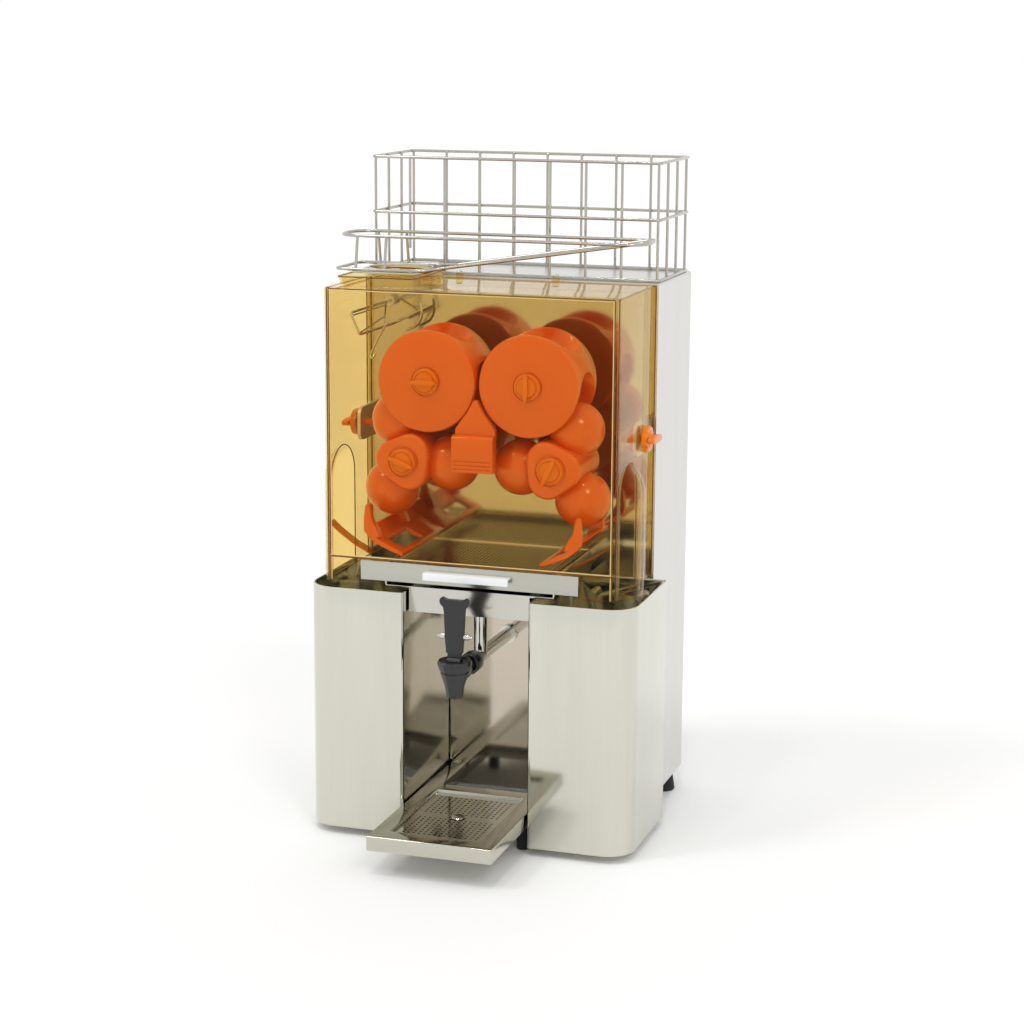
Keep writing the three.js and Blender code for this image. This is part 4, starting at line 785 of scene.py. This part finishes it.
def makeEdges():
    # painted shade and painted highlights: thin dark lines stand in for the shade seen along the clear
    # cover's edges and seams, and pale lines beside them for its highlights
    half, front, back, corner, top, cutTop = sizes(cover, 'half front back corner top cutTop')
    dark, thin, beside, out = sizes(edges, 'dark bright beside inFront')
    middle, low, flat = cover['wall'] / 2, cover['low'] + 1.2, half - corner
    side, face, roof, bend = half - middle, front + middle, top - middle, front + corner

    def across(y, z, radius):
        return bar('edgeLine', (-flat, y, z), (flat, y, z), radius, 10)

    def up(x, y, radius):
        return bar('edgeLine', (x, y, low), (x, y, roof), radius, 10)

    def toBack(x, z):
        return bar('edgeLine', (x, bend, z), (x, back - 1, z), dark, 10)

    mouthHalf, mouth = funnel['half'] + funnel['flare'] - 1.5, top + funnel['height'] - 1.2
    rim = corners(funnel['x'] - mouthHalf, funnel['x'] + mouthHalf,
                  funnel['front'] + 1.5, funnel['back'] - 1.5, mouth)
    edgeLines = [across(face, roof, dark), across(face, cutTop + edges['darkAboveCut'], dark * 1.5),
             wire('edgeLine', rim, dark, 4, True)]
    bright = [across(face + out, roof - beside, thin), across(face, cutTop + edges['brightAboveCut'], thin)]
    y, reach = cover['blisterY'], cover['blisterHalf'] - 0.8
    spring = cover['low'] + cover['blisterApex'] - cover['blisterHalf']
    for s in (-1, 1):
        arch = [(s * side, *around(y, spring, reach, 180 - 180 * i / 32)) for i in range(33)]
        edgeLines += [up(s * side, bend, dark), up(s * flat, face, dark), toBack(s * side, roof),
                  toBack(s * side, low), up(s * (cover['flangeHalf'] - 1), back - cover['flange'] + 1, dark),
                  wire('edgeLine', [(s * side, y - reach, low), *arch, (s * side, y + reach, low)], dark, 0)]
        bright += [up(s * (side - out), bend + beside, thin), up(s * (flat - beside), face + out, thin)]
    place(gather('dark edges', *edgeLines), 'cover', edgeShade, 'amber_clear')
    place(gather('bright edges', *bright), 'cover', edgeHighlight, 'amber_clear')


clamp = dict(
    x=178.3, y=20, z=482, radius=16, thick=9, long=37, wide=9, tall=8, stem=4.8, stemEnd=161.7,
    shape=[(-1, 0.6), (-0.4, 1), (0.8, 0.9), (1, 0.4)], flutes=6, flute=5)


def makeClamp(side, sign):
    x, y, z, r, t, stem, end = sizes(clamp, 'x y z radius thick stem stemEnd')
    profile = [(0, 0), (r - 1, 0), (r, 1), (r, t * 0.6), (r - 1.5, t * 0.8), (r - 5, t * 0.85), (r - 6, t),
               (0, t)]
    knob = turned(f'{side} clamp knob', profile, (sign * x, y, z), 'x' if sign > 0 else '-x')
    for i in range(clamp['flutes']):
        spot = around(y, z, r + 3, 30 + i * 60)
        carve(knob, bar('flute', (sign * (x - 2), *spot), (sign * (x + t + 2), *spot), clamp['flute'], 24))
    outline = leverOutline(y, z, clamp['long'], clamp['wide'], clamp['shape'])
    low, high = sorted((sign * (x + t - 1), sign * (x + t + clamp['tall'])))
    fuse(knob, soften(slab('handle', outline, low, high, 'x'), 1.6, 4, 30),
         bar('stem', (sign * end, y, z), (sign * (x + 1), y, z), stem))
    smooth(knob, 32)
    place(knob, f'clamp_{side}', knobPlastic, 'knob_orange', f'clamp_knob_{side}')


makeCover()
makeScrews()
makeEdges()
for side, sign in sides:
    makeClamp(side, sign)
print('cover done')


# feed ring, rails and basket

ring = dict(
    x=-118, y=2, low=669.3, plate=2, lip=3, radius=37, wall=2, plateHalf=42, plateX=-122, front=-43,
    back=60, tabHalf=21, tabBack=94, standFront=66, casingTop=659)


def makeRing():
    x, y, low, radius, plateX, half, back = sizes(ring, 'x y low radius plateX plateHalf back')
    top, left, right = low + ring['plate'], plateX - ring['tabHalf'], plateX + ring['tabHalf']
    plate = block('feed plate', (plateX - half, ring['front'], low), (plateX + half, back, top))
    roundEdges(plate, 8, 6, upright)
    fuse(plate, bar('lip', (x, y, low), (x, y, top + ring['lip']), radius + ring['wall'], 96),
         block('tab', (left, back - 2, low), (right, ring['tabBack'], top)),
         block('stand', (left, ring['standFront'], ring['casingTop']), (right, ring['tabBack'], top)))
    carve(plate, bar('hole', (x, y, low - 5), (x, y, top + 10), radius, 96))
    soften(plate, 0.4, angle=40)
    place(plate, 'machine', ringSheet, 'brushed_steel', 'feed_ring')


rails = dict(
    radius=2, y=2, high=712, low=673.3, left=-185, right=187, half=34, wide=41, neck=22, neckX=-62,
    bendX=-77, post=1.8, posts=(-159, -123))


def makeRails():
    y, r, left, right, high, low, half, wide = sizes(rails, 'y radius left right high low half wide')
    neck, neckX, bendX = sizes(rails, 'neck neckX bendX')
    guard = wire('guard', corners(left, right, y - half, y + half, high), r, 26, True)
    near = [(right, y - neck, high + 2), (neckX, y - neck, low + 2), (bendX, y - wide, low),
            (left, y - wide, low)]
    far = [(x, 2 * y - nearY, z) for x, nearY, z in reversed(near)]
    track = wire('track', near + far, r, 10, True)
    posts = [wire('post', [(x, y + s * wide, low), (x, y + s * half, high)], rails['post'], 0)
             for x in rails['posts'] for s in (-1, 1)]
    place(gather('feed rails', guard, track, *posts), 'machine', wireSteel, 'steel_wire', 'feed_rails')


basket = dict(
    x=179, front=71, back=209, rings=(661, 732, 798), ring=1.9, post=1.7, inset=2.6, bays=8, sideBays=3,
    openBays=2, short=1, shortLow=689)


def makeBasket():
    x, front, back, inset, bays, sideBays = sizes(basket, 'x front back inset bays sideBays')
    low, middle, top = basket['rings']
    start, postX, frontY, backY = low - 1.7, x - inset, front + inset, back - inset
    pitch, sidePitch = 2 * postX / bays, (backY - frontY) / sideBays

    def post(px, py, foot, outX, outY):
        # its top end bends out onto the ring
        path = [(px, py, foot), (px, py, top + 0.4), (outX, outY, top + 0.2)]
        return wire('post', path, basket['post'], 1.2)

    wires = [wire('ring', corners(-x, x, front, back, z), basket['ring'], 5, True) for z in (middle, top)]
    first, *others = corners(-x, x, front, back, low)
    openTo = (basket['openBays'] * pitch - postX - 2, front, low)
    wires.append(wire('ring', [openTo, *others, first], basket['ring'], 5))
    for i in range(bays + 1):
        px = i * pitch - postX
        wires.append(post(px, frontY, basket['shortLow'] if i == basket['short'] else start, px, front))
        wires.append(post(px, backY, start, px, back))
    for i in range(1, sideBays):
        py = frontY + i * sidePitch
        wires += [post(s * postX, py, start, s * x, py) for s in (-1, 1)]
    place(gather('orange basket', *wires), 'machine', wireSteel, 'steel_wire', 'orange_basket')


makeRing()
makeRails()
makeBasket()
print('feeding done')


# peel bins

bins = dict(
    inner=76.5, outer=200, front=-107, back=59.7, low=10, top=305, wall=2, outerRound=34, innerRound=5,
    pinX=(108.5, 168), pinZ=283, pinRadius=4.3)


def makeBin(side, sign):
    def case(inset, low, high):
        inner, outer = sign * (bins['inner'] + inset), sign * (bins['outer'] - inset)
        piece = block(f'{side} peel bin', (inner, bins['front'] + inset, low),
                      (outer, bins['back'] - inset, high))
        roundEdges(piece, bins['outerRound'] - inset, 20,
                   lambda a, b: upright(a, b) and a.y < 0 and abs(a.x - outer) < 1)
        return roundEdges(piece, bins['innerRound'] - inset, 6,
                          lambda a, b: upright(a, b) and (a.y > 50 or abs(a.x - inner) < 1))

    low, top, wall, z = sizes(bins, 'low top wall pinZ')
    shell = carve(case(0, low, top), case(wall, low + wall, top + 5))
    for x in bins['pinX']:
        carve(shell, bar('eye', (sign * x, 50, z), (sign * x, 65, z), bins['pinRadius'], 32))
    soften(shell, 0.7, 3, 50)
    place(shell, f'bin_{side}', binSheet, 'brushed_steel', f'peel_bin_{side}')


for side, sign in sides:
    makeBin(side, sign)
print('bins done')


# juice housing, drawer and strainer

trough = dict(
    front=-91.7, back=60, half=74, low=280, shelfHalf=104, shelfLow=308, top=336, wall=2, outletY=-48,
    outlet=6)
tray = dict(
    half=133, front=-95, plate=3, low=315, top=338, panHalf=99, panTop=335, back=52, wall=2, drain=8)
mesh = dict(
    top=335, thick=2, half=96.7, front=-89.7, back=49.7, hole=1.8, columns=37, rows=26, pitchX=5.1,
    pitchY=5.1, leg=3, legLow=317.3, legTop=333.5)
grip = dict(half=52, low=322, high=331, front=-107, back=-95.1, thick=2.5)


def makeTrough():
    front, back, half, low, w = sizes(trough, 'front back half low wall')
    shelfHalf, shelfLow, top, y = sizes(trough, 'shelfHalf shelfLow top outletY')
    body = wideBlock('juice housing', half, front, back, low, shelfLow + w)
    fuse(body, wideBlock('shelf', shelfHalf, front, back, shelfLow, top))
    carve(body, wideBlock('hollow', shelfHalf - w, front - 1, back - w, shelfLow + w, top + 1),
          wideBlock('sump', half - w, front + w, back - w, low + w, shelfLow + w + 1),
          bar('outlet', (0, y, low - 1), (0, y, low + w + 2), trough['outlet'], 32))
    soften(body, 0.5, angle=50)
    place(body, 'machine', housingSheet, 'polished_steel', 'juice_housing')


def makeDrawer():
    half, front, low, panHalf, back, w = sizes(tray, 'half front low panHalf back wall')
    y, behind = trough['outletY'], front + tray['plate']
    face = wideBlock('juice drawer', half, front, behind, low, tray['top'])
    fuse(face, wideBlock('pan', panHalf, front + 2, back, low, tray['panTop']))
    carve(face, wideBlock('hollow', panHalf - w, behind + w, back - w, low + w, tray['top'] + 1),
          bar('drain', (0, y, low - 1), (0, y, low + w + 3), tray['drain'], 32))
    soften(face, 0.6, 3, 50)
    place(face, 'drawer', drawerSheet, 'brushed_steel', 'juice_drawer')


def makePull():
    low, high, front, back, thick, half = sizes(grip, 'low high front back thick half')
    outline = [(front, low), (front + thick, low), (front + thick, high - thick), (back, high - thick),
               (back, high), (front, high)]
    pull = slab('drawer pull', outline, -half, half, 'x')
    soften(pull, 0.7, 3, 40)
    place(pull, 'drawer', stripPlastic, 'clear_plastic', 'drawer_pull')


def perforated(name, half, front, back, middles, values):
    # a thin plate on two legs, its fields of round holes each from one cutter repeated both ways
    top, thick, radius, leg, legLow, legTop = sizes(values, 'top thick hole leg legLow legTop')
    columns, rows, pitchX, pitchY = sizes(values, 'columns rows pitchX pitchY')
    plate = wideBlock(name, half, front, back, top - thick, top)
    for middle in middles:
        x, y = (1 - columns) / 2 * pitchX, middle + (1 - rows) / 2 * pitchY
        cutter = bar('punch', (x, y, top - thick - 1), (x, y, top + 1), radius, 12)
        for count, step in ((columns, (pitchX * mm, 0, 0)), (rows, (0, pitchY * mm, 0))):
            apply(cutter, 'ARRAY', count=count, use_relative_offset=False, use_constant_offset=True,
                  constant_offset_displace=step)
        carve(plate, cutter)
    legs = [block('leg', (s * half, front, legLow), (s * (half - leg), back, legTop)) for s in (-1, 1)]
    return gather(name, plate, *legs)


def makeStrainer():
    half, front, back = sizes(mesh, 'half front back')
    sheet = perforated('pulp strainer', half, front, back, [(front + back) / 2], mesh)
    place(sheet, 'drawer', meshSheet, 'polished_steel', 'pulp_filter')


makeTrough()
makeDrawer()
makePull()
makeStrainer()
print('drawer done')


# juice pipe, tap and lever

pipe = dict(radius=8, bore=6, z=222, branchY=-48, front=-79, back=60, top=280, collar=11, collarLong=6)
tap = dict(
    y=-141, z=222, top=240, radius=20, spout=9, bottom=196, spoutBore=6.5, spoutDeep=16, neckEnd=-79.3,
    neck=9, nutFront=-93.3, nutBack=-72.3, nut=13, slot=13, fit=0.3)
lever = dict(
    pivot=238, hub=6, hubHalf=8, low=248, top=314, half=18, waist=10, thick=3.5, pinZ=268,
    pin=[(0, 0), (2.2, 0), (2.2, 3), (3.4, 4), (3.4, 8), (0.8, 14), (0, 14.4)])


def makePipe():
    z, r, bore, y, front, back, top = sizes(pipe, 'z radius bore branchY front back top')
    collar, long = sizes(pipe, 'collar collarLong')
    run = bar('juice pipe', (0, front, z), (0, back, z), r, 64)
    fuse(run, bar('riser', (0, y, z), (0, y, top), r, 64),
         bar('collar', (0, back - long, z), (0, back, z), collar, 64),
         bar('collar', (0, y, top - long), (0, y, top), collar, 64))
    carve(run, bar('bore', (0, front - 1, z), (0, back - r, z), bore),
          bar('bore', (0, y, z), (0, y, top + 1), bore))
    soften(run, 0.6, 3, 40)
    place(run, 'machine', polishedTube, 'polished_steel', 'juice_pipe')


def makeTap():
    y, z, top, r, low, spout, neck, end = sizes(tap, 'y z top radius bottom spout neck neckEnd')
    pivot, hub, hubHalf = sizes(lever, 'pivot hub hubHalf')
    h, slotHalf = top - low, hubHalf + tap['fit']
    profile = [(0, 0), (spout, 0), (spout + 0.6, 0.6), (spout + 2.4, h * 0.3), (r - 3.2, h - 14.4),
               (r - 4, h - 14), (r - 4, h - 13), (r - 2.9, h - 12.6), (r, h - 5), (r, h - 1.5),
               (r - 1.5, h), (0, h)]
    body = spun(turned('tap body', profile, (0, y, low), steps=8), (0, y, low), 22.5, (0, 0, 1))
    fuse(body, bar('bonnet', (0, y, top - 5), (0, y, top), r - 0.2, 64, r - 1.2),
         bar('neck', (0, y, z), (0, end, z), neck), bar('shoulder', (0, y, z), (0, y + r + 6, z), neck + 3))
    carve(body, bar('spout', (0, y, low - 1), (0, y, low + tap['spoutDeep']), tap['spoutBore']),
          wideBlock('slot', slotHalf, y - tap['slot'], y + tap['slot'], pivot - hub - tap['fit'], top + 5),
          bar('bore', (0, y, z), (0, end + 2, z), pipe['bore']))
    soften(body, 0.5, angle=25)
    place(body, 'machine', blackPlastic, 'black_plastic', 'tap_body')


def makeNut():
    z, front, back, fit, end = sizes(tap, 'z nutFront nutBack fit neckEnd')
    nut = soften(bar('tap nut', (0, front, z), (0, back, z), tap['nut'], 10), 1.2, 3, 20)
    carve(nut, bar('neck', (0, front - 5, z), (0, end + fit, z), tap['neck'] + fit),
          bar('pipe', (0, end, z), (0, back + 5, z), pipe['radius'] + fit))
    place(nut, 'machine', blackPlastic, 'black_plastic', 'tap_nut')


def makeLever():
    pivot, hub, hubHalf, low, top, half, waist, t = sizes(lever, 'pivot hub hubHalf low top half waist thick')
    y = tap['y']
    right = [(hubHalf, pivot), (hubHalf, low), (waist, low + 1), (waist, low + 6), (waist + 0.8, low + 12),
             (half - 5.5, top - 18), (half - 4.5, top - 12), (half - 1.4, top - 9), (half, top - 5.5),
             (half - 0.6, top - 2), (half - 3.5, top), (half - 6.5, top - 1.6), (half - 9, top - 2.6)]
    blade = soften(slab('tap lever', mirroredOutline(right), y - t, y + t), 1.2, 4)
    fuse(blade, bar('hub', (-hubHalf, y, pivot), (hubHalf, y, pivot), hub))
    smooth(blade, 32)
    place(blade, 'lever', blackPlastic, 'black_plastic', 'tap_lever')
    pins = [turned('pin', lever['pin'], (s * (hubHalf - 0.5), y, lever['pinZ']), 'x' if s > 0 else '-x', 32)
            for s in (-1, 1)]
    place(gather('tap pins', *pins), 'lever', polishedTube, 'polished_steel')


makePipe()
makeTap()
makeNut()
makeLever()
print('tap done')


# drip tray, grid and its feet

drip = dict(
    half=75, front=-232, back=59.7, low=32, high=49.5, wall=1.5, arm=20, frontRim=24, well=161, rim=20,
    floor=2, edgeRound=1.6)
grid = dict(
    gap=0.6, top=45.5, thick=1.5, hole=1.5, columns=15, rows=9, pitchX=6.3, pitchY=7, fromMiddle=10,
    dimple=9, leg=1.5, legLow=34.1, legTop=45)
pad = dict(x=65, y=-82, radius=7.5, height=47.6)
wellFront = drip['front'] + drip['frontRim']
wellBack = wellFront + drip['well']


def makeDrip():
    low, high, half, front, back, w, arm = sizes(drip, 'low high half front back wall arm')
    inner = half - arm
    piece = wideBlock('drip tray', half, front, back, low, high)
    carve(piece, wideBlock('gap', inner, wellBack + drip['rim'], back + 1, low - 1, high + 1),
          wideBlock('well', inner, wellFront, wellBack, low + drip['floor'], high + 1),
          wideBlock('front hollow', half - w, front + w, wellFront - w, low - 1, high - w))
    for s in (-1, 1):
        carve(piece, block('arm hollow', (s * (inner + w), front + w, low - 1),
                           (s * (half - w), back - w, high - w)))
    roundEdges(piece, drip['edgeRound'], 4, lambda a, b: level(a, b, 'z', high) and (
        level(a, b, 'x', half) or level(a, b, 'x', -half) or level(a, b, 'y', front)))
    soften(piece, 0.4, angle=50)
    place(piece, 'tray', traySheet, 'brushed_steel', 'drip_tray')


def makeGrid():
    gap, top, r = sizes(grid, 'gap top dimple')
    half, front, back = drip['half'] - drip['arm'] - gap, wellFront + gap, wellBack - gap
    middle, off = (front + back) / 2, grid['fromMiddle'] + (grid['rows'] - 1) / 2 * grid['pitchY']
    plate = perforated('drip grid', half, front, back, [middle - off, middle + off], grid)
    profile = [(0, -0.5), (r - 2, -0.5), (r, 0.6), (r - 0.6, 1.2), (r - 3, 0.4), (0, 0.4)]
    dimple = turned('dimple', profile, (0, middle, top))
    place(gather('drip grid', plate, dimple), 'grid', gridSheet, 'brushed_steel', 'drip_grid')


def makePads():
    x, y, r, h = sizes(pad, 'x y radius height')
    for side, sign in sides:
        foot = turned(f'{side} tray foot', [(0, 0), (r - 0.8, 0), (r, 0.8), (r, h), (0, h)],
                      (sign * x, y, 0), 'z', 40)
        place(foot, 'tray', blackRubber, 'black_rubber', f'tray_foot_{side}')


makeDrip()
makeGrid()
makePads()
print('tray done')


# floor, light and camera

studio = dict(world=0.77, floorGlow=0.03, floorSize=60)
lamps = {
    # azimuth from the front towards the right, height and width in degrees, strength
    'left softbox': (-50, 50, 14, 0.42), 'right softbox': (40, 42, 14, 0.36),
    'ceiling lamp': (12, 72, 4, 0.3), 'second ceiling lamp': (-25, 68, 3, 0.12)}
lens = dict(
    place=(0.8746, -2.6502, 0.9676), azimuth=17.82, down=11.77, roll=0.34, focalPixels=2392.5, picture=1024,
    sensor=36)


def paleFloor():
    bpy.ops.mesh.primitive_plane_add(size=studio['floorSize'], location=(0, 20, 0))
    floor = bpy.context.object
    floor.name = 'studio floor'
    finish = Finish(bpy.data.materials.new('pale floor'))
    finish.set(Base_Color=finish.blend(finish.noise(4.0, detail=2.0) * 0.3, *tone['floor']), Roughness=0.7,
               Specular_IOR_Level=0.2, Emission_Color=(1, 1, 1, 1),
               Emission_Strength=finish.seen() * studio['floorGlow'])
    floor.data.materials.append(finish.owner)


def studioWorld():
    world = bpy.data.worlds.new('studio')
    bpy.context.scene.world = world
    room = Finish(world, 'Background')
    room.set(Color=(1, 1, 1, 1), Strength=room.seen() * (1 - studio['world']) + studio['world'])


def softLamps():
    # wide soft lamps, which shine from their direction wherever they stand
    for name, (azimuth, height, width, strength) in lamps.items():
        turn = (math.radians(90 - height), 0, math.radians(azimuth))
        bpy.ops.object.light_add(type='SUN', location=(0, 0, 4), rotation=turn)
        lamp = bpy.context.object
        lamp.name = name
        lamp.data.energy, lamp.data.angle = strength, math.radians(width)


def photoCamera():
    turns = ((lens['azimuth'], 'Z'), (90 - lens['down'], 'X'), (lens['roll'], 'Z'))
    pan, tilt, roll = (Matrix.Rotation(math.radians(angle), 4, axis) for angle, axis in turns)
    bpy.ops.object.camera_add(location=lens['place'], rotation=(pan @ tilt @ roll).to_euler())
    camera = bpy.context.object
    camera.data.sensor_width = lens['sensor']
    camera.data.lens = lens['focalPixels'] * lens['sensor'] / lens['picture']
    camera.data.clip_end = 50
    bpy.context.scene.camera = camera


paleFloor()
studioWorld()
softLamps()
photoCamera()
bpy.context.scene.view_settings.view_transform = 'Standard'
print('studio done')

onlyPick()
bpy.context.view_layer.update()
